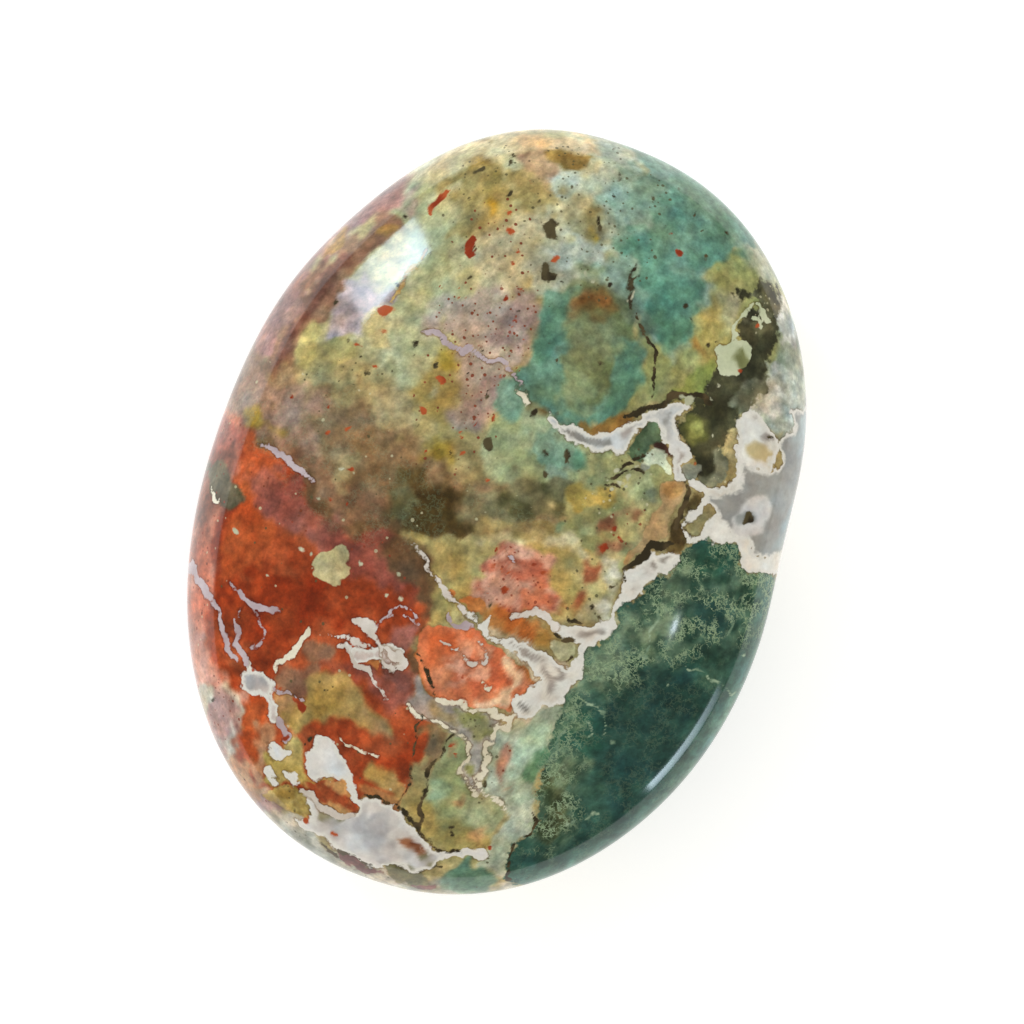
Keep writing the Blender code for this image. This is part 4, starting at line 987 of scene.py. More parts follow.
lay(stain, clasts, CLAST_DIP,
    ("orb_light", (88, 66, 55), (76, 38, 25), (0.8, 0.9, 0.75, True), [(-1, -11.2), (1, -10.6),
     (3.4, -11.2), (5, -12.4), (4.6, -14), (2.8, -15.4), (1, -14.6), (-0.4, -13.2)]),
    ("orb_rim", (92, 78, 64), (87, 70, 56), (0.25, 0.2), [(4.8, -11.3), (5.8, -11.3), (7, -11.8),
     (7.3, -13), (6.7, -14), (6.4, -15.3), (4.4, -15.9), (3.4, -15.7), (4.4, -14.9), (5.1, -14.2),
     (5.5, -13.4), (5.5, -12.5)]),
    ("orb_outline", (66, 40, 17), (54, 30, 13), (0.15, 0.2, 0.9), [(6.2, -11.3, 0.25), (7.2, -11.6, 0.4),
     (7.8, -12.4, 0.5), (7.8, -13.2, 0.4), (7, -14.4, 0.35), (6.6, -15.4, 0.4)], [(-2.5, -13.6, 0.35),
     (-1.6, -15, 0.4), (-0.6, -16.1, 0.35), (0.5, -16.4, 0.3)]),
    ("orb_deep", (83, 46, 28), (76, 36, 19), (0.8, 0.6, 0.85), [(-2.6, -12), (-1.6, -11), (0.4, -10.6),
     (1, -11.6), (-0.4, -13.4), (-1.4, -14.4)]))
lay(inlay, clasts, CLAST_DIP,
    ("cream_scraps", (80, 75, 58), (73, 67, 48), (), [(-11.7, -7.1), (-11.1, -7), (-10.7, -7.8),
     (-10.6, -8.4), (-10.1, -8.7), (-10.2, -9.4), (-10.5, -10.2), (-10.8, -10.7), (-11.6, -10.4),
     (-12.8, -10.2), (-13.1, -9.6), (-13.4, -9.3), (-12.9, -8.7), (-12.3, -8.1)], [(8, -8.3), (9.2, -8.1),
     (9.8, -8.3), (10, -9), (9.5, -9.7), (8.8, -9.8), (8.2, -9.3)]),
    ("cream_pebble", (86, 87, 75), (82, 83, 69), (), [(9.8, 8.4), (10, 9), (10.7, 9.4), (11.4, 9.4),
     (12, 9), (12.3, 8.5), (12.1, 8.1), (10, 8.1)]),
    ("green_clast", (40, 48, 35), (28, 35, 24), (True,), [(9, 11.3), (9.8, 11.6), (10.4, 11.2),
     (10.8, 10.1), (10.3, 9.5), (9.7, 8.6), (9.7, 8.2), (9, 8), (8.4, 8.4), (8.8, 9.7)]),
    ("grey_clasts", (61, 61, 53), (51, 52, 45), (), [(13.1, 9), (13.8, 9.5), (14.7, 9.7), (14.9, 9),
     (14.4, 8.2), (13.5, 8.2)], [(9.7, 8), (10.8, 8), (10.5, 7.3), (10, 7.1), (9.6, 7.4)]),
    ("purple_clast", (38, 25, 20), (27, 17, 13), (True,), [(10.5, 10.2), (11.2, 10.2), (11.8, 9.8),
     (12, 9.3), (11.2, 9.5), (10.5, 9.3)]))
lay(inlay, clasts, RUBBLE_DIP,
    ("tan_clast", (73, 60, 42), (65, 51, 33), (), [(12.2, 6.8), (12.8, 7.6), (13.7, 7.8), (14.3, 7.2),
     (14.3, 6.2), (14, 5.2), (13.9, 4.2), (13.9, 3.2), (13.5, 2.4), (13, 1.4), (12.3, 0.4), (11.6, -0.4),
     (11.4, 0.4), (12.2, 1.6), (12.5, 2.8), (12.6, 4), (12.8, 5.2), (12.6, 6)]))
lay(stain, clasts, RUBBLE_DIP,
    ("orange_cap", (80, 62, 38), (74, 54, 31), (0.35, 0.4, 0.9), [(12.2, 7), (13, 7.5), (13.9, 7.4),
     (14.2, 6.6), (13.6, 6), (12.9, 6.4)]))
lay(inlay, clasts, CLAST_DIP,
    ("brown_scraps", (44, 37, 21), (32, 25, 13), (True,), [(14.9, 5.6), (14.9, 6.6), (15.3, 7.2),
     (15.8, 6.8), (15.7, 5.9), (15.3, 5.5)], [(14.3, 4.8), (15, 4.6), (15.7, 3.4), (15.4, 2.2), (14.6, 1.9),
     (14.4, 3)]),
    ("ochre_scrap", (72, 62, 36), (60, 48, 23), (True,), [(-10, -28.6), (-9.5, -27.9), (-8.5, -27.8),
     (-7.5, -28), (-6.8, -28.8), (-5.9, -29.4), (-6.3, -29.9), (-7.5, -29.9), (-8.5, -30), (-9.5, -29.6),
     (-10.3, -29.3)]),
    ("orange_low", (78, 58, 36), (60, 28, 15), (True,), [(-7.7, -27), (-6.5, -26.4), (-5.2, -26.2),
     (-4.9, -25.6), (-4.3, -25.7), (-3.3, -26.6), (-3.6, -27), (-3, -27.3), (-2.6, -27.9), (-3.2, -28.3),
     (-4, -28.4), (-5, -28.1), (-6, -27.8), (-7, -27.6)]),
    ("brown_low", (60, 38, 26), (46, 22, 12), (True,), [(1.8, -28.7), (2.4, -28.2), (3.1, -28.2),
     (3.8, -28.5), (4.4, -28.5), (4.3, -29), (3.8, -29.4), (2.8, -29.3)]),
    ("grey_low", (53, 50, 36), (43, 41, 28), (), [(-5.6, -28.7), (-4.5, -28.8), (-3.5, -28.9), (-4, -29.3),
     (-5.3, -29.3)], [(4.3, -28.9), (5, -29.1), (5.5, -29.7), (4.8, -29.9), (4, -29.5)], [(1.5, -31.1),
     (2.5, -30.8), (4, -30.7), (5.4, -31), (5, -31.8), (3.5, -32.2), (2, -32.2)]))
stain(silica, drawn["brown_low"], (60, 40, 28), (44, 24, 14), 0.2, 0.3, 1.0, True)
stain(silica, drawn["grey_low"], (58, 55, 43), (46, 44, 32), 0.25, 0.4, 0.9, True)
lay(stain, silica, SILICA_DIP,
    ("low_cores", (80, 78, 77), (70, 68, 67), (0.6, 0.8, 0.85), (-2.2, -27.6, 0.7), (-0.6, -28.4, 1.1),
     (1.6, -29.6, 0.8), (-3.4, -30, 0.6), (5.2, -29, 0.5)))
lay(inlay, clasts, CLAST_DIP,
    ("maroon_low", (54, 38, 35), (42, 26, 24), (), [(-2.8, -31.6), (-1, -31.7), (0.5, -31.9), (1.4, -32.1),
     (-0.5, -32.5), (-2, -32.4)], [(3.4, -32, 0.3), (4.8, -31.9, 0.4), (5.8, -31.4, 0.3)]))

# The fine veins. Thin seams of white, lilac and cream silica healed cracks of many ages. They
# cross every zone, and they are widest where they cross the fracture in the middle.

VEIN_DIP = (-0.25, 0.3)
veins = blank()
lay(inlay, veins, VEIN_DIP,
    ("white_seams", (91, 87, 83), (80, 75, 70), (), [(-6.2, -4.6, 0.1), (-5, -5.4, 0.2), (-4, -6.2, 0.25),
     (-3.2, -6.9, 0.28), (-2.5, -7.4, 0.3), (-1.5, -8, 0.28), (-0.5, -8.7, 0.28), (0.3, -9.2, 0.25)],
     [(4.3, -7.7, 0.3), (5, -7.3, 0.5), (5.6, -6.9, 0.5), (6.6, -6.6, 0.6), (7.4, -6.9, 0.6),
     (8, -7.2, 0.5)], [(-0.9, -11.9, 0.2), (-0.2, -12, 0.22), (0.4, -12.3, 0.22), (1, -11.9, 0.2),
     (1.5, -12.1, 0.22), (1.9, -12.7, 0.22), (2.4, -13, 0.3), (2.9, -12.7, 0.25), (3.6, -12.6, 0.2)],
     [(2.4, -11, 0.2), (3, -11.2, 0.2), (3.3, -11.7, 0.2), (3.4, -12.2, 0.22), (3.5, -12.7, 0.2)],
     [(-10.2, -14.5, 0.15), (-9, -14.4, 0.3), (-8, -14.3, 0.35), (-7, -14.1, 0.3), (-6.2, -14, 0.15)],
     [(-9, -15.2, 0.2), (-8, -15.2, 0.3), (-7.3, -15.7, 0.45), (-6.9, -16, 0.5), (-6, -16.3, 0.4),
     (-5.2, -16.8, 0.35), (-4.5, -17.2, 0.3), (-3.5, -17.8, 0.2)], [(-8.2, -12.6), (-7.8, -12.1),
     (-7.1, -12), (-6.5, -12.3), (-6.4, -13), (-6.9, -13.2), (-7.5, -12.9)], [(-6.8, -13.1, 0.3),
     (-5.8, -13.3, 0.3), (-5.3, -13.8, 0.3), (-5.2, -14.5, 0.3), (-4.6, -15.2, 0.3), (-3.6, -15.3, 0.4),
     (-3.1, -14.6, 0.4)], [(-4.9, -13.7), (-4.2, -13.8), (-3.4, -14.1), (-3.2, -14.7), (-3.9, -14.8),
     (-4.6, -14.4)], [(-7.6, -27.9, 0.4), (-6.4, -28.1, 0.5), (-5, -28.5, 0.6), (-3.6, -28.7, 0.6),
     (-2.8, -28.4, 0.5)]),
    ("pale_drop", (83, 84, 71), (76, 78, 64), (), [(13.8, 23, 0.2), (13.5, 22.3, 0.25), (13.2, 21.6, 0.25),
     (13.4, 21, 0.25), (13.6, 20.3, 0.25)], [(13.8, 22.9, 0.25), (14.2, 23.6, 0.3), (14.8, 24.1, 0.35),
     (15.3, 23.7, 0.3), (15.9, 23, 0.3)], [(14.4, 22.7, 0.2), (15, 23, 0.3), (15.6, 22.4, 0.25)],
     [(13.6, 20.5), (14.1, 20.9), (14.9, 21), (15.3, 20.3), (15.4, 19.4), (15.2, 18.6), (15, 17.9),
     (14.4, 17.4), (13.6, 17.6), (12.9, 18.1), (12.8, 19), (13.1, 19.9)]))
lay(stain, veins, VEIN_DIP,
    ("drop_notch", (52, 53, 35), (42, 43, 26), (0.2, 0.2), [(14.5, 19.8, 0.2), (14.9, 19.2, 0.5),
     (15.4, 18.8, 0.5)]))
lay(inlay, veins, VEIN_DIP,
    ("gold_seam", (80, 66, 38), (63, 44, 20), (True,), [(-13.1, 19, 0.2), (-13.2, 18, 0.28),
     (-13.5, 17, 0.3), (-14, 16, 0.3), (-14.3, 15, 0.3), (-14.7, 13.5, 0.25)]),
    ("lilac_seams", (78, 71, 72), (68, 60, 61), (), [(-11, 12.2, 0.3), (-9.9, 12.4, 0.5), (-9, 12.1, 0.6),
     (-8, 11.9, 0.6), (-7, 12.2, 0.5), (-6, 12, 0.5), (-5, 11.6, 0.45), (-4, 12.1, 0.4), (-3.3, 11.6, 0.35),
     (-2.6, 11.3, 0.3), (-1.8, 10.9, 0.2)], [(-20.8, -1.2, 0.2), (-20, -1.2, 0.4), (-19, -1.6, 0.5),
     (-18, -1.8, 0.5), (-17.2, -2.3, 0.5), (-16.5, -2.6, 0.45), (-15.9, -2.9, 0.3), (-15.3, -3.3, 0.2)],
     [(-19.1, -13.4, 0.3), (-18, -13.9, 0.5), (-17, -14.1, 0.5), (-16, -14.3, 0.5), (-15, -14.3, 0.4),
     (-14.2, -14.1, 0.2)], [(-16.5, -14.6, 0.2), (-15.8, -15.3, 0.3), (-15.3, -16.2, 0.35),
     (-15.2, -17, 0.3), (-15.5, -17.7, 0.25)], [(-17.7, -14.8, 0.2), (-17.5, -15.4, 0.3), (-17.8, -16, 0.3),
     (-17.3, -17, 0.35), (-17.1, -17.8, 0.4), (-16.6, -18.4, 0.5), (-15.9, -18.6, 0.5),
     (-15.5, -19.3, 0.5)], [(-22.8, -13.2, 0.8), (-22.3, -13.8, 0.7), (-21.5, -14.2, 0.6),
     (-20.8, -14.8, 0.5), (-20.1, -15.2, 0.4), (-19.3, -16, 0.35), (-19, -16.7, 0.35), (-18.3, -17.4, 0.4),
     (-17.7, -18.1, 0.4), (-17.5, -18.8, 0.4), (-17.2, -19.1, 0.35), (-16.6, -19.2, 0.3)],
     [(-12.5, -20.2, 0.4), (-11.5, -20.4, 0.4), (-10.5, -20.5, 0.3), (-9.9, -20.7, 0.2)],
     [(-11.3, -22.7, 0.5), (-10.6, -23.6, 0.5), (-10.3, -24.2, 0.3)], [(-6.6, -12, 0.2), (-5.8, -11.5, 0.2),
     (-5.3, -11, 0.2), (-5.3, -10.4, 0.2), (-4.8, -10.1, 0.2), (-4, -10.1, 0.2), (-3.3, -10.5, 0.2)],
     [(-5.3, -11, 0.2), (-4, -11, 0.2), (-3.2, -11.3, 0.2)], [(-0.9, -9.4, 0.3), (0, -9.9, 0.35),
     (1.2, -10, 0.3)], [(2.1, -3.1), (2.5, -2.9), (2.9, -3.1), (2.5, -3.3)]),
    ("cream_seams", (94, 90, 81), (85, 80, 69), (), [(-11.6, -14.9, 0.32), (-11.7, -15.6, 0.35),
     (-12.2, -16.8, 0.6), (-12.4, -17.5, 0.45), (-12.9, -18.1, 0.36), (-13.3, -18.3, 0.36),
     (-13, -19, 0.28)], [(-1.6, -17.9, 0.32), (-0.8, -18.3, 0.32), (0.5, -18.3, 0.32), (2, -18.4, 0.32),
     (3.2, -18.3, 0.32), (4.1, -18.7, 0.32), (4.6, -19.3, 0.32), (4.8, -20.2, 0.32), (4.4, -20.8, 0.32),
     (4.3, -21.4, 0.32), (4.8, -22.1, 0.32), (5.4, -22.4, 0.32), (5.6, -22.9, 0.32), (6.5, -22.9, 0.32)],
     [(7.1, -15.9, 0.36), (7.1, -16.9, 0.36), (6.3, -16.8, 0.32), (6.1, -17.3, 0.32), (6.1, -18.2, 0.32),
     (5.6, -18.8, 0.32), (5.9, -19.3, 0.32), (6.4, -19.8, 0.32), (6.3, -20.6, 0.32), (6.1, -21.4, 0.32),
     (6.3, -22.3, 0.32), (7, -22.7, 0.32), (8, -22.9, 0.36), (9.2, -23.2, 0.36)], [(0.7, -16.4, 0.28),
     (1.5, -16.2, 0.32), (2.7, -16.1, 0.32), (3.8, -16.6, 0.36), (4.3, -16, 0.32), (5.2, -15.9, 0.32),
     (5.8, -16.1, 0.32), (6.6, -16, 0.32), (7.1, -15.9, 0.32)], [(-6, -22.2, 0.28), (-4.7, -22.6, 0.3),
     (-2.5, -22.7, 0.28)], [(3.7, -13.8, 0.15), (4.5, -14, 0.32)], [(-1.7, 10.4, 0.36), (-1.2, 10.2, 0.4),
     (-0.8, 9.7, 0.36)], [(-23.4, -6.4, 0.15), (-22.9, -6.9, 0.36), (-22.5, -7.3, 0.28)]))

# Open cracks and dark rims. Brown and black iron and manganese crusts line the borders between
# the scraps and fill the last hair cracks.

CRACK_DIP = (0.05, 0.25)
cracks = blank()
lay(inlay, cracks, CRACK_DIP,
    ("crack_lines", (34, 28, 18), (20, 17, 10), (True,), [(-0.2, -18.1, 0.15), (0, -19, 0.2),
     (0.2, -20, 0.2), (0.25, -21, 0.26), (0.2, -22, 0.2), (0.5, -22.8, 0.2), (0.85, -23.6, 0.2),
     (0.9, -24.6, 0.2), (0.7, -25.3, 0.2), (0.5, -25.9, 0.2)], [(2.8, -18.5, 0.2), (2.7, -19.5, 0.2),
     (2.5, -20.5, 0.22), (2.1, -21.8, 0.22), (2, -22.8, 0.25), (2.2, -24, 0.2), (2.4, -25.2, 0.2),
     (2.6, -26.5, 0.26), (2.7, -27.4, 0.2)], [(7.4, 11.2, 0.35), (8, 11.7, 0.35), (8.5, 12.1, 0.45),
     (9.5, 12.6, 0.45), (10, 13.2, 0.4), (10.3, 14.2, 0.4), (11, 14.7, 0.5), (12, 14.9, 0.35),
     (13.5, 14.9, 0.5)], [(7.4, 6, 0.2), (8.1, 6.4, 0.3), (8.8, 7, 0.22), (9.6, 7.1, 0.3),
     (10.3, 7.1, 0.2)], [(7.7, 5.3, 0.2), (8.3, 5.7, 0.25), (8.9, 5.6, 0.2)], [(8.2, 6.9, 0.2),
     (8.5, 7.5, 0.25), (9.2, 7.7, 0.2)], [(13.9, 7.9, 0.2), (14.6, 7.2, 0.5), (14.7, 6, 0.6),
     (14.6, 5, 0.5), (14.7, 4, 0.3)], [(14.8, 2.6, 0.3), (14.2, 2.3, 0.6), (13.3, 1.8, 0.7), (13, 1, 0.6),
     (12.7, 0.2, 0.6), (12.2, -0.3, 0.5), (11.6, -0.8, 0.3), (11.5, -1.4, 0.25), (12, -1.9, 0.2)],
     [(8.5, -6.4, 0.15), (9.2, -6.3, 0.3), (9.7, -6.5, 0.35), (10, -6.7, 0.2)], [(7.7, -7.6, 0.2),
     (8.3, -7.9, 0.25), (9, -7.95, 0.25), (9.7, -7.8, 0.2)], [(9.9, -9.1, 0.2), (9.8, -9.6, 0.3),
     (9.5, -9.8, 0.2)], [(5.2, 19.9, 0.2), (5.6, 19.1, 0.26), (6.2, 18.6, 0.26), (7, 17.9, 0.26),
     (7.8, 17.2, 0.28), (8.1, 16.6, 0.28), (8.4, 16, 0.28), (8.5, 15.2, 0.26), (8.6, 14.5, 0.24),
     (8.9, 13.3, 0.15)], [(-2.4, -13.4, 0.2), (-1.8, -14, 0.25), (-1, -14.7, 0.25), (-0.3, -15.4, 0.25),
     (0.2, -16, 0.25), (0.5, -16.4, 0.2)], [(11.1, -26, 0.25), (11, -27, 0.3), (11.1, -28.3, 0.25),
     (11.5, -28.9, 0.3)], [(11.3, -22.5, 0.15), (12, -23.2, 0.25), (12, -24.2, 0.25), (11.6, -25, 0.2)],
     [(-2.6, -26.1, 0.25), (-1.4, -26, 0.25), (-0.2, -26.1, 0.2)], [(0.8, -26.2, 0.25), (1.7, -26.6, 0.35),
     (2.4, -27.1, 0.3), (3.6, -28.1, 0.2), (5, -28.4, 0.25), (7, -28, 0.2)], [(-2.8, -31.6, 0.2),
     (-1, -31.6, 0.25), (1, -31.9, 0.2)], [(-4.4, -31.5, 0.2), (-2.8, -32, 0.35)], [(8.9, 8, 0.2),
     (9.3, 8.5, 0.28), (9.7, 8.7, 0.2)]))

# Specks and small spots. Dark mineral grains, tiny branching tufts and drops of iron red lie
# scattered in the pale and the green zones.

SPECK_DIP = (0.0, 0.1)
specks = blank()
lay(inlay, specks, SPECK_DIP,
    ("dark_specks", (33, 29, 19), (19, 16, 10), (True,), [(-4.8, 24.2), (-4.3, 24.5), (-4.1, 24.9),
     (-3.6, 24.9), (-3.3, 24.6), (-3.4, 24.1), (-3.1, 23.7), (-2.8, 23.4), (-4, 23.3), (-4.4, 23.5),
     (-4.6, 23.9)], [(-3.6, 20.3), (-3.3, 20.8), (-2.9, 20.9), (-2.7, 20.5), (-2.2, 20.4), (-2.1, 20),
     (-2.5, 19.8), (-3, 19.65), (-3.4, 19.7)], [(3.5, 23.7, 0.25), (3.8, 22.9, 0.3), (3.9, 22, 0.35),
     (4, 21.2, 0.25), (4.4, 20.5, 0.4), (4.6, 20.1, 0.25)], [(4.3, 22.9, 0.2), (4.2, 22.2, 0.25),
     (4, 21.7, 0.2)], [(-3.4, 5.6), (-2.9, 5.8), (-2.4, 5.5), (-2.2, 5.1), (-2.6, 4.8), (-3.1, 4.9),
     (-3.3, 5.2)], [(-11.9, 26.1), (-11.7, 26.7), (-11.4, 26.9), (-11.1, 26.6), (-11.3, 26.3)],
     [(19.7, 7.3), (20.1, 7.4), (20.4, 6.9), (20.3, 6.4), (20, 6.2), (19.7, 6.6)], [(-0.3, 26.2, 0.3),
     (-0.15, 25.3, 0.4)], [(3.7, 6.8, 0.3), (3.9, 5.8, 0.25)], [(1.9, 6, 0.2), (2.4, 6, 0.25)],
     [(6.5, -21.8, 0.3), (6.65, -22.2, 0.35)], [(5.3, -29.8, 0.3), (5.8, -29.75, 0.35)], (-14.6, 15, 0.2),
     (-16, 20.9, 0.15), (-9.2, 20.3, 0.2), (-9.1, 28.3, 0.2), (-8.9, 29, 0.15), (-9.8, 29.3, 0.12),
     (-10.2, 28.5, 0.12), (-10.6, 27.7, 0.12), (-11.4, 24.5, 0.12), (-12.7, 23.7, 0.12), (-8.2, 25.8, 0.25),
     (-9.1, 17.85, 0.14), (-12.1, 16.35, 0.14), (-12.5, 18.5, 0.12), (0, 30.1, 0.15), (-1.3, 32.4, 0.14),
     (3.3, 29.6, 0.12), (0.2, 28.6, 0.13), (-1.1, 29.05, 0.12), (-3.15, 28, 0.12), (0.4, 27.5, 0.12),
     (-5.6, 26.1, 0.13), (-4, 25.6, 0.12), (1.1, 26.35, 0.13), (1.3, 25.1, 0.12), (0.8, 24.2, 0.12),
     (-1.6, 19.9, 0.13), (2.5, 21.4, 0.2), (-5.7, 19.3, 0.12), (-7.7, 21.5, 0.12), (6.95, 29.4, 0.18),
     (5.1, 31, 0.12), (-4.3, 16.7, 0.14), (-7.3, 15.8, 0.12), (3.7, 14.6, 0.15), (-0.8, 14.8, 0.16),
     (0.6, 13.5, 0.16), (10, 29, 0.18), (8.3, 28.1, 0.14), (8.9, 21.8, 0.25), (9.1, 26.2, 0.12),
     (12.6, 19.75, 0.14), (11.9, 19.3, 0.12), (10, 21.1, 0.12), (-18.9, 12, 0.2), (-17.8, 7.8, 0.14),
     (-15.4, 8.3, 0.16), (-14.3, 7.5, 0.14), (-19, 5.5, 0.14), (-16.7, 9.5, 0.12), (-11.5, 10.9, 0.28),
     (-10.9, 10, 0.16), (-9.1, 9.9, 0.25), (-9.4, 12, 0.2), (-8.7, 3.4, 0.14), (-8.7, 4.7, 0.12),
     (-4.7, 14.2, 0.14), (-5.6, 12.5, 0.14), (-3.4, 13.7, 0.14), (-7.6, 11.5, 0.12), (-6.4, 10, 0.16),
     (-4.3, 9.2, 0.14), (-4.1, 8.7, 0.14), (-5.5, 3.05, 0.22), (-1.8, 4.4, 0.14), (0, 9, 0.24),
     (2.5, 4.4, 0.28), (5.3, 5.4, 0.14), (1.1, 5.5, 0.14), (11, -2.9, 0.22), (11.4, -2.4, 0.16),
     (11, -5.5, 0.2), (10.3, -4.8, 0.16), (-8.6, -18.9, 0.2), (-8.3, -18.4, 0.12), (-7.5, -19.8, 0.12),
     (-6, -20.4, 0.12), (-8.5, -28.1, 0.14), (-7.7, -29.7, 0.16), (-9, -27.8, 0.12), (5.4, -26.4, 0.22),
     (5.7, -27.1, 0.2), (4.4, -20.7, 0.14), (15.3, 5, 0.16), (15.6, 4.3, 0.18), (16, 3.9, 0.16),
     (14.6, 9.8, 0.1), (19.3, 13.7, 0.14), (-17.3, -23.3, 0.14), (-16.9, -22.5, 0.12), (2, -7.6, 0.16),
     (-8.3, -23.4, 0.2), (-8.4, -24.1, 0.14)),
    ("red_specks", (72, 34, 18), (56, 20, 9), (True,), [(-12.95, 24.1), (-13.4, 24.1), (-13.9, 23.6),
     (-14.2, 22.9), (-14.35, 22), (-14.1, 21.7), (-13.8, 22.2), (-13.6, 22.8), (-13.2, 23.5)], [(-10.4, 21),
     (-9.9, 21.3), (-9.6, 20.9), (-9.5, 20.3), (-9.2, 19.8), (-9.3, 19.4), (-9.6, 19.3), (-10.1, 19.8),
     (-10.4, 20.4)], [(-14.6, 11.1, 0.25), (-14.2, 11.1, 0.25)], [(-16, 9.2, 0.22), (-15.6, 9.2, 0.22)],
     [(-2.9, 7.7, 0.2), (-2.9, 7.2, 0.2)], [(-3.8, -30.4, 0.3), (-3.5, -30.4, 0.25)], (-14.6, 12.7, 0.5),
     (-8.3, 8.65, 0.42), (-8.8, 6, 0.32), (-7.75, 24.05, 0.3), (-7.1, 22.75, 0.3), (-6.15, 20.3, 0.2),
     (-6.1, 21.4, 0.14), (-2.65, 21.6, 0.22), (-6.95, 27, 0.14), (-5.5, 17.4, 0.2), (-4.45, 18.2, 0.16),
     (-3.95, 15.8, 0.24), (-4, 15, 0.14), (-3.1, 14.5, 0.14), (6.9, 25.8, 0.32), (5.8, 27.15, 0.16),
     (-9.7, 16.85, 0.2), (-9.4, 15.95, 0.16), (-8.8, 16.15, 0.14), (-11.2, 16.2, 0.2), (-13.8, 8.3, 0.22),
     (-13.5, 7.6, 0.14), (-19.7, 3.4, 0.28), (-16.4, 3.6, 0.16), (-15.6, 1.3, 0.16), (-14.5, 2.4, 0.16),
     (-12.9, -0.9, 0.2), (-13.6, -4, 0.2), (-12.2, -3.7, 0.16), (-6, 12.9, 0.14), (-4.5, 6.9, 0.14),
     (-4.3, 6.25, 0.16), (-5.2, 5.4, 0.2), (-4.9, 4.9, 0.14), (-3.5, 10.75, 0.2), (-4.35, 3.8, 0.24),
     (-1.9, 2.1, 0.2), (-7.3, 2.7, 0.14), (1.2, -3.2, 0.18), (1.2, -4.2, 0.18), (2, -4.2, 0.16),
     (2.7, -4.2, 0.16), (2.5, -2.6, 0.14), (5.2, -3.5, 0.16), (4.5, -3, 0.14), (2.8, -5.9, 0.4),
     (1.3, -5.9, 0.16), (1.5, -6.9, 0.14), (-0.2, -6, 0.16), (1.9, -14, 0.14), (9.4, 0.25, 0.3),
     (9.6, 2, 0.24), (10.2, 1.4, 0.24), (3.6, -20.4, 0.2), (3.2, -19.5, 0.18), (-10.5, -24, 0.24),
     (-6.1, -29.9, 0.3), (9.1, -26.9, 0.26), (-11.8, -20, 0.2), (14, 9.75, 0.16), (15.2, 18.3, 0.2),
     (15.2, 22.4, 0.18), (-9.9, -21.2, 0.4), (-10.4, -20.9, 0.3)),
    ("pale_specks", (84, 82, 70), (70, 70, 58), (), [(-13.8, -0.9, 0.2), (-13.4, -0.9, 0.25)],
     [(4.2, 21.6, 0.15), (4.1, 20.6, 0.22)], (8.5, 6, 0.2), (9.1, 6.5, 0.2), (8, 6.9, 0.16),
     (9.3, 7.4, 0.16), (7.6, 5.8, 0.14), (9.2, 5.9, 0.16), (8.3, 5.2, 0.14), (13.2, 15.9, 0.14),
     (13.6, 15.2, 0.14), (14, 16.4, 0.12), (0.7, 21.1, 0.16), (0.2, 21.3, 0.16), (-20.3, -8.9, 0.24),
     (-14.6, -8.8, 0.16), (-13.7, -8.7, 0.16), (-9.5, -8, 0.16), (-16.5, -11.7, 0.16), (-14.4, -4.1, 0.16),
     (-6, -7.7, 0.16), (-5.2, -9.6, 0.16), (-6.3, -9.7, 0.14), (12, 14.4, 0.45), (11.2, 14.5, 0.2),
     (14.9, 12.3, 0.12)),
    ("moss_wisps", (62, 70, 58), (44, 54, 44), (True,), [(12.4, -12.3, 0.12), (13.5, -12.5, 0.2),
     (14.4, -13.2, 0.2), (14.9, -14.2, 0.15), (15, -14.8, 0.12)], [(12.8, -14.1, 0.12), (13.4, -14.4, 0.2),
     (13.9, -14.9, 0.15), (13.8, -15.5, 0.12)], [(11.5, -13.4, 0.12), (11.9, -14.8, 0.18),
     (11.5, -16, 0.15), (11.8, -17, 0.2)], [(21.8, -1.4, 0.15), (22, -2.2, 0.25), (21.9, -3, 0.2)],
     [(19.2, -6.8, 0.1), (20.5, -6.9, 0.15), (21.5, -7.1, 0.15), (23, -7.3, 0.15), (24.5, -7.3, 0.15)],
     [(14.4, -23, 0.12), (15.2, -22.2, 0.2), (15.9, -21.6, 0.2), (16.5, -20.9, 0.15)], [(15.4, -2.6, 0.12),
     (15.8, -3.8, 0.2), (15.5, -5, 0.2), (15.9, -6.2, 0.15), (15.4, -7.4, 0.15)], (20.4, -5.6, 0.16),
     (18.4, -8.8, 0.14), (22.3, -3.8, 0.16), (16, -7.2, 0.16), (16, -14.8, 0.15), (13.8, -20.7, 0.15),
     (12.9, -19.2, 0.2), (23.4, -4.2, 0.14)))

# The stone's material. One polished surface shows the whole pattern: the ground's colour, then the
# inlaid layers one over another, then fine grains and mossy threads, and last a very fine mottling.

material = bpy.data.materials.new("polished_jasper_pattern")
material.use_nodes = True
mesh.materials.append(material)
tree = material.node_tree
surface = tree.nodes["Principled BSDF"]
surface.inputs["IOR"].default_value = 1.54
surface.inputs["Roughness"].default_value = 0.09
place = tree.nodes.new("ShaderNodeTexCoord").outputs["Object"]
COLOUR_A, COLOUR_B, COLOUR_RESULT = 6, 7, 2
NOISE_STRETCH = 4.5
RIM_TINT = (0.42, 0.30, 0.20, 1.0)
RIM_WIDTH = 0.22
LINING_WIDTH = 0.50
GRAIN_WIDTH = 0.04
GRAIN_SPREAD = 0.26
GRAIN_DENT = 0.13
GRAIN_BLUR = 0.08
THREAD_GAP_SIZE = 2.2
THREAD_GAP_FADE = 0.16


def wire(value, socket):
    """Sets a socket to a number or a colour, or joins it to another node's output."""
    if isinstance(value, bpy.types.NodeSocket):
        tree.links.new(value, socket)
    else:
        socket.default_value = value


def calc(operation, first, second=0.0, third=0.0):
    """One sum on numbers or sockets."""
    node = tree.nodes.new("ShaderNodeMath")
    node.operation = operation
    for value, socket in zip((first, second, third), node.inputs):
        wire(value, socket)
    return node.outputs[0]


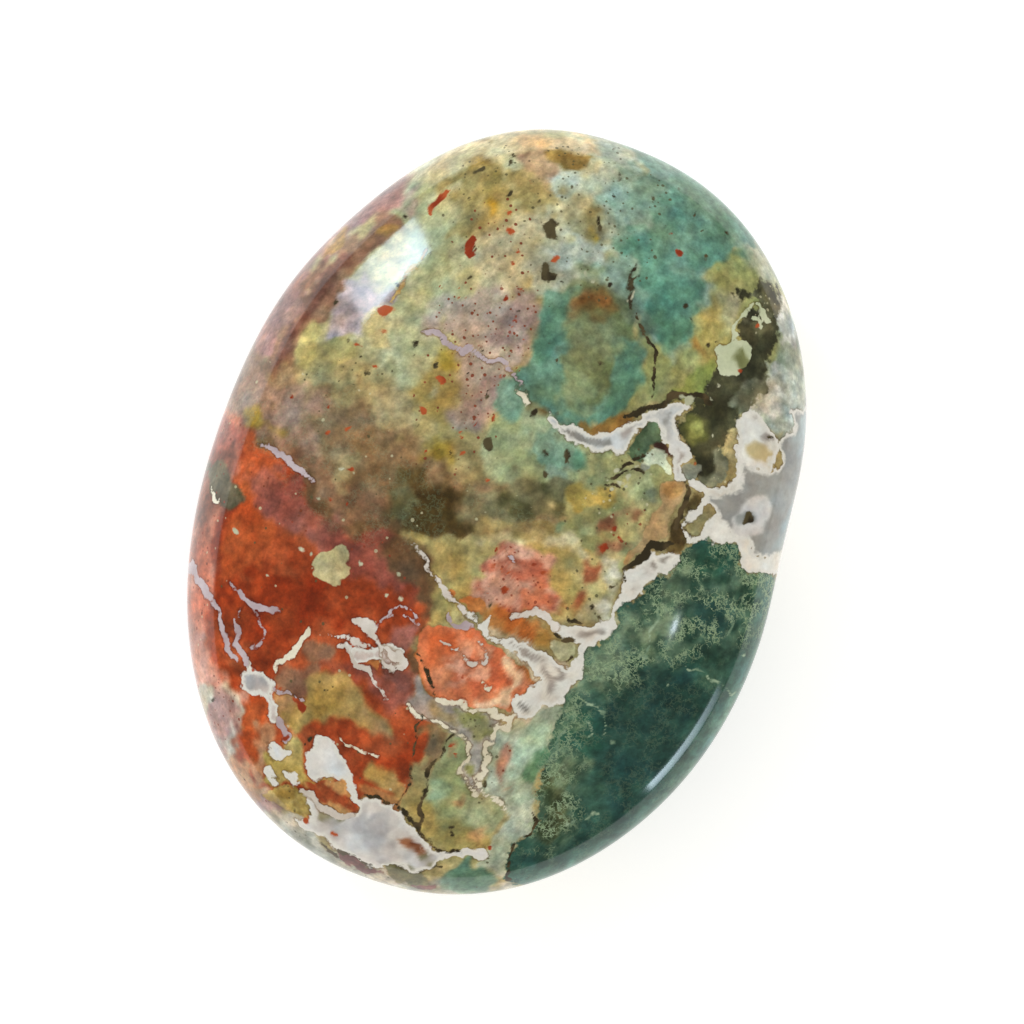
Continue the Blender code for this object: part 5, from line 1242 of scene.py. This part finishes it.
def ramp(value, start, end, low=0.0, high=1.0):
    """A smooth step: low up to start, high from end on."""
    node = tree.nodes.new("ShaderNodeMapRange")
    node.interpolation_type = "SMOOTHSTEP"
    for entry, socket in zip((value, start, end, low, high), node.inputs):
        wire(entry, socket)
    return node.outputs[0]


def blend(share, first, second, way="MIX"):
    """Mixes two colours, or multiplies the first by the second."""
    node = tree.nodes.new("ShaderNodeMix")
    node.data_type = "RGBA"
    node.blend_type = way
    wire(share, node.inputs[0])
    wire(first, node.inputs[COLOUR_A])
    wire(second, node.inputs[COLOUR_B])
    return node.outputs[COLOUR_RESULT]


def texture(size, detail, roughness=0.5):
    """Noise with features of about this size in mm: three unlike fields, each around one half."""
    node = tree.nodes.new("ShaderNodeTexNoise")
    wire(place, node.inputs["Vector"])
    node.inputs["Scale"].default_value = 1.0 / (size * MM)
    node.inputs["Detail"].default_value = detail
    node.inputs["Roughness"].default_value = roughness
    parts = tree.nodes.new("ShaderNodeSeparateColor")
    wire(node.outputs["Color"], parts.inputs[0])
    return list(parts.outputs)


def as_light(tones):
    """Tones as the eye reads them off the stone, turned into the light that it sends back."""
    tones = np.clip(tones, 0.0, 1.0)
    return np.where(tones <= 0.04045, tones / 12.92, ((tones + 0.055) / 1.055) ** 2.4)


def shown(tone):
    """One such tone, in hundredths, as a socket's colour."""
    return (*as_light(np.array(tone) / 100.0).tolist(), 1.0)


def keep(name, columns):
    """Stores four numbers for every point on the mesh, and returns the node that reads them."""
    attribute = mesh.attributes.new(name, "FLOAT_COLOR", "POINT")
    attribute.data.foreach_set("color", columns.ravel().astype(np.float32))
    node = tree.nodes.new("ShaderNodeAttribute")
    node.attribute_name = name
    return node


def centred(noises):
    """Noise moved to lie around zero and stretched, so that it mostly spans -1 to 1."""
    return [calc("MULTIPLY_ADD", one, NOISE_STRETCH, -NOISE_STRETCH / 2.0) for one in noises]


border_swings = centred(texture(1.9, 3.0))
border_nicks = centred(texture(0.5, 2.0))


def overlay(below, name, layer, edge, swing, nick, rim=0.0, lining=None):
    """Lays an inlaid layer over what is below, where its field is under zero. edge is half the
    width of its fade, and swing and nick are how far its border strays, broadly and finely, in mm.
    A rim darkens what is below along parts of the border, and a lining is a paler edge inside it."""
    node = keep(name, np.column_stack((as_light(layer[:, :3]), layer[:, 3])))
    pick = next(turns)
    border = calc("MULTIPLY_ADD", border_swings[pick], swing, node.outputs["Alpha"])
    border = calc("MULTIPLY_ADD", border_nicks[pick], nick, border)
    own = node.outputs["Color"]
    if lining:
        own = blend(ramp(border, -0.10, -LINING_WIDTH), shown(lining), own)
    if rim:
        rim = ramp(border, RIM_WIDTH, 0.03, 0.0, rim)
        rim = calc("MULTIPLY", rim, ramp(border_swings[pick - 1], -0.7, 0.4))
        below = blend(rim, below, RIM_TINT, "MULTIPLY")
    return blend(ramp(border, edge, -edge), below, own)


def sprinkle(below, density, colour, size, strength=0.8):
    """Strews small grains: cells of about this size in mm, of which a share that follows the
    density hold a grain each, of its own width."""
    node = tree.nodes.new("ShaderNodeTexVoronoi")
    wire(place, node.inputs["Vector"])
    node.inputs["Scale"].default_value = 1.0 / (size * MM)
    chance = tree.nodes.new("ShaderNodeSeparateColor")
    wire(node.outputs["Color"], chance.inputs[0])
    width = calc("MULTIPLY_ADD", chance.outputs[1], GRAIN_SPREAD, GRAIN_WIDTH)
    width = calc("MULTIPLY_ADD", border_nicks[0], GRAIN_DENT, width)
    out = calc("SUBTRACT", node.outputs["Distance"], width)
    grain = ramp(out, GRAIN_BLUR, -GRAIN_BLUR, 0.0, strength)
    grain = calc("MULTIPLY", grain, calc("LESS_THAN", chance.outputs[0], density))
    return blend(grain, below, shown(colour))


def threads(below, density, colour, size, width, gaps):
    """Draws a net of fine threads: where noise crosses its middle value, broken up by coarser
    noise."""
    fields = texture(size, 4.0, 0.6)
    gap = calc("MINIMUM", *[calc("ABSOLUTE", calc("SUBTRACT", field, 0.5)) for field in fields[:2]])
    line = ramp(gap, width, width * 0.25)
    breaks = ramp(texture(size * THREAD_GAP_SIZE, 2.0)[0], gaps, gaps + THREAD_GAP_FADE)
    line = calc("MULTIPLY", line, breaks)
    return blend(calc("MULTIPLY", line, density), below, shown(colour))


for layer in (ground, clasts, moss):
    mottled(layer)
mottled(silica, tint=(0.6, 0.7, 0.7), amount=0.05)
colour = keep("ground", np.column_stack((as_light(ground[:, :3]), ground[:, 3]))).outputs["Color"]
colour = overlay(colour, "moss", moss, edge=0.22, swing=0.25, nick=0.30)
strewn = keep("grains", grains)
kinds = tree.nodes.new("ShaderNodeSeparateColor")
wire(strewn.outputs["Color"], kinds.inputs[0])
colour = threads(colour, strewn.outputs["Alpha"], (56, 64, 50), size=0.8, width=0.031, gaps=0.42)
colour = overlay(colour, "clasts", clasts, edge=0.10, swing=0.10, nick=0.10, rim=0.45)
colour = sprinkle(colour, kinds.outputs[DARK], (33, 31, 20), size=0.46)
colour = sprinkle(colour, kinds.outputs[PALE], (80, 77, 62), size=0.50, strength=0.6)
colour = sprinkle(colour, kinds.outputs[RED], (53, 23, 15), size=0.46)
FINE_GRIT, COARSE_GRIT, GRIT_BASE = 0.65, 0.50, 0.36
GRIT_TINT = 0.14
grit = calc("MULTIPLY_ADD", texture(0.28, 3.0, 0.6)[0], FINE_GRIT, GRIT_BASE)
coarse = texture(0.8, 4.0, 0.65)
grit = calc("MULTIPLY_ADD", coarse[0], COARSE_GRIT, grit)
shade = tree.nodes.new("ShaderNodeCombineColor")
for field, channel in zip(coarse, shade.inputs):
    wire(calc("MULTIPLY_ADD", field, GRIT_TINT, grit), channel)
colour = blend(1.0, colour, shade.outputs[0], "MULTIPLY")
colour = overlay(
    colour, "silica", silica, edge=0.08, swing=0.10, nick=0.16, rim=0.8, lining=(89, 87, 83))
colour = overlay(colour, "veins", veins, edge=0.06, swing=0.06, nick=0.12, rim=0.8)
colour = overlay(colour, "cracks", cracks, edge=0.06, swing=0.07, nick=0.10)
colour = overlay(colour, "specks", specks, edge=0.09, swing=0.02, nick=0.09)
wire(blend(0.4, colour, shade.outputs[0], "MULTIPLY"), surface.inputs["Base Color"])

# The floor and the light. The stone lies on a pale floor in an evenly lit room. A tall window at
# the upper left and a low strip at the lower right give the two bright reflections.

FLOOR_SIZE = 3.0
ROOM_LIGHT = 0.78
MIRRORED_LIGHT = 0.16
half = FLOOR_SIZE / 2.0
floor_mesh = bpy.data.meshes.new("pale_floor")
floor_corners = [(-half, -half, 0.0), (half, -half, 0.0), (half, half, 0.0), (-half, half, 0.0)]
floor_mesh.from_pydata(floor_corners, [], [(0, 1, 2, 3)])
floor = bpy.data.objects.new("pale_floor", floor_mesh)
bpy.context.scene.collection.objects.link(floor)
floor_paint = bpy.data.materials.new("pale_floor_paint")
floor_paint.use_nodes = True
floor_surface = floor_paint.node_tree.nodes["Principled BSDF"]
floor_surface.inputs["Base Color"].default_value = (0.8, 0.8, 0.8, 1.0)
floor_surface.inputs["Roughness"].default_value = 0.9
floor_surface.inputs["Specular IOR Level"].default_value = 0.0
floor_surface.inputs["Emission Color"].default_value = (1.0, 1.0, 1.0, 1.0)
floor_surface.inputs["Emission Strength"].default_value = 0.5
floor_mesh.materials.append(floor_paint)

room = bpy.data.worlds.new("room")
room.use_nodes = True
bpy.context.scene.world = room
background = room.node_tree.nodes["Background"]
background.inputs["Color"].default_value = (1.0, 0.98, 0.92, 1.0)
light_path = room.node_tree.nodes.new("ShaderNodeLightPath")
dimmer = room.node_tree.nodes.new("ShaderNodeMapRange")
room.node_tree.links.new(light_path.outputs["Is Glossy Ray"], dimmer.inputs["Value"])
dimmer.inputs["To Min"].default_value = ROOM_LIGHT
dimmer.inputs["To Max"].default_value = MIRRORED_LIGHT
room.node_tree.links.new(dimmer.outputs[0], background.inputs["Strength"])


def panel(name, bearing, lift, width, height, radiance, tint, aside=1.0, low=1.0):
    """A flat light a metre away that faces the stone from this bearing and height angle, in
    degrees. Its power is its radiance times its area times pi. Seen from the stone, its glow
    fades evenly to one side and downwards, to the shares aside and low."""
    light = bpy.data.lights.new(name, "AREA")
    light.shape = "RECTANGLE"
    light.size = width
    light.size_y = height
    light.energy = radiance * width * height * math.pi
    light.color = tint
    light.use_nodes = True
    pane = light.node_tree
    spread = pane.nodes.new("ShaderNodeSeparateXYZ")
    pane.links.new(pane.nodes.new("ShaderNodeNewGeometry").outputs["Parametric"], spread.inputs[0])
    glow = pane.nodes.new("ShaderNodeMath")
    glow.operation = "MULTIPLY"
    for way, ends in enumerate(((1.0, aside), (low, 1.0))):
        fade = pane.nodes.new("ShaderNodeMapRange")
        pane.links.new(spread.outputs[way], fade.inputs["Value"])
        fade.inputs["To Min"].default_value, fade.inputs["To Max"].default_value = ends
        pane.links.new(fade.outputs[0], glow.inputs[way])
    pane.links.new(glow.outputs[0], pane.nodes["Emission"].inputs["Strength"])
    holder = bpy.data.objects.new(name, light)
    turn, rise = math.radians(bearing), math.radians(lift)
    way = Vector((math.cos(turn) * math.cos(rise), math.sin(turn) * math.cos(rise), math.sin(rise)))
    holder.location = way + Vector((0.0, 0.0, GIRDLE_HEIGHT * MM))
    holder.rotation_euler = way.to_track_quat("Z", "Y").to_euler()
    holder.visible_camera = False
    bpy.context.scene.collection.objects.link(holder)


panel("window", bearing=151.5, lift=27.5, width=0.24, height=0.43, radiance=20.0,
    tint=(0.62, 0.84, 1.0), aside=0.5, low=0.4)
panel("low_strip", bearing=-18.5, lift=6.5, width=0.35, height=0.17, radiance=15.0,
    tint=(0.72, 0.88, 1.0), aside=0.2, low=0.4)
panel("small_lamp", bearing=-6.0, lift=52.5, width=0.02, height=0.02, radiance=45.0,
    tint=(0.80, 0.92, 1.0))

# The camera looks straight down from a metre above, turned so that the stone's length leans to
# the right as it does in the photograph.

CAMERA_HEIGHT = 1.0
VIEW_WIDTH = 0.08704
SENSOR = 36.0
VIEW_MIDDLE = (0.001144, 0.000461)
LEAN = 20.0
camera_data = bpy.data.cameras.new("camera")
camera_data.sensor_width = SENSOR
camera_data.lens = SENSOR * (CAMERA_HEIGHT - GIRDLE_HEIGHT * MM) / VIEW_WIDTH
camera = bpy.data.objects.new("camera", camera_data)
camera.location = (*VIEW_MIDDLE, CAMERA_HEIGHT)
camera.rotation_euler = (0.0, 0.0, math.radians(LEAN))
bpy.context.scene.collection.objects.link(camera)
bpy.context.scene.camera = camera
bpy.context.scene.view_settings.view_transform = "Standard"
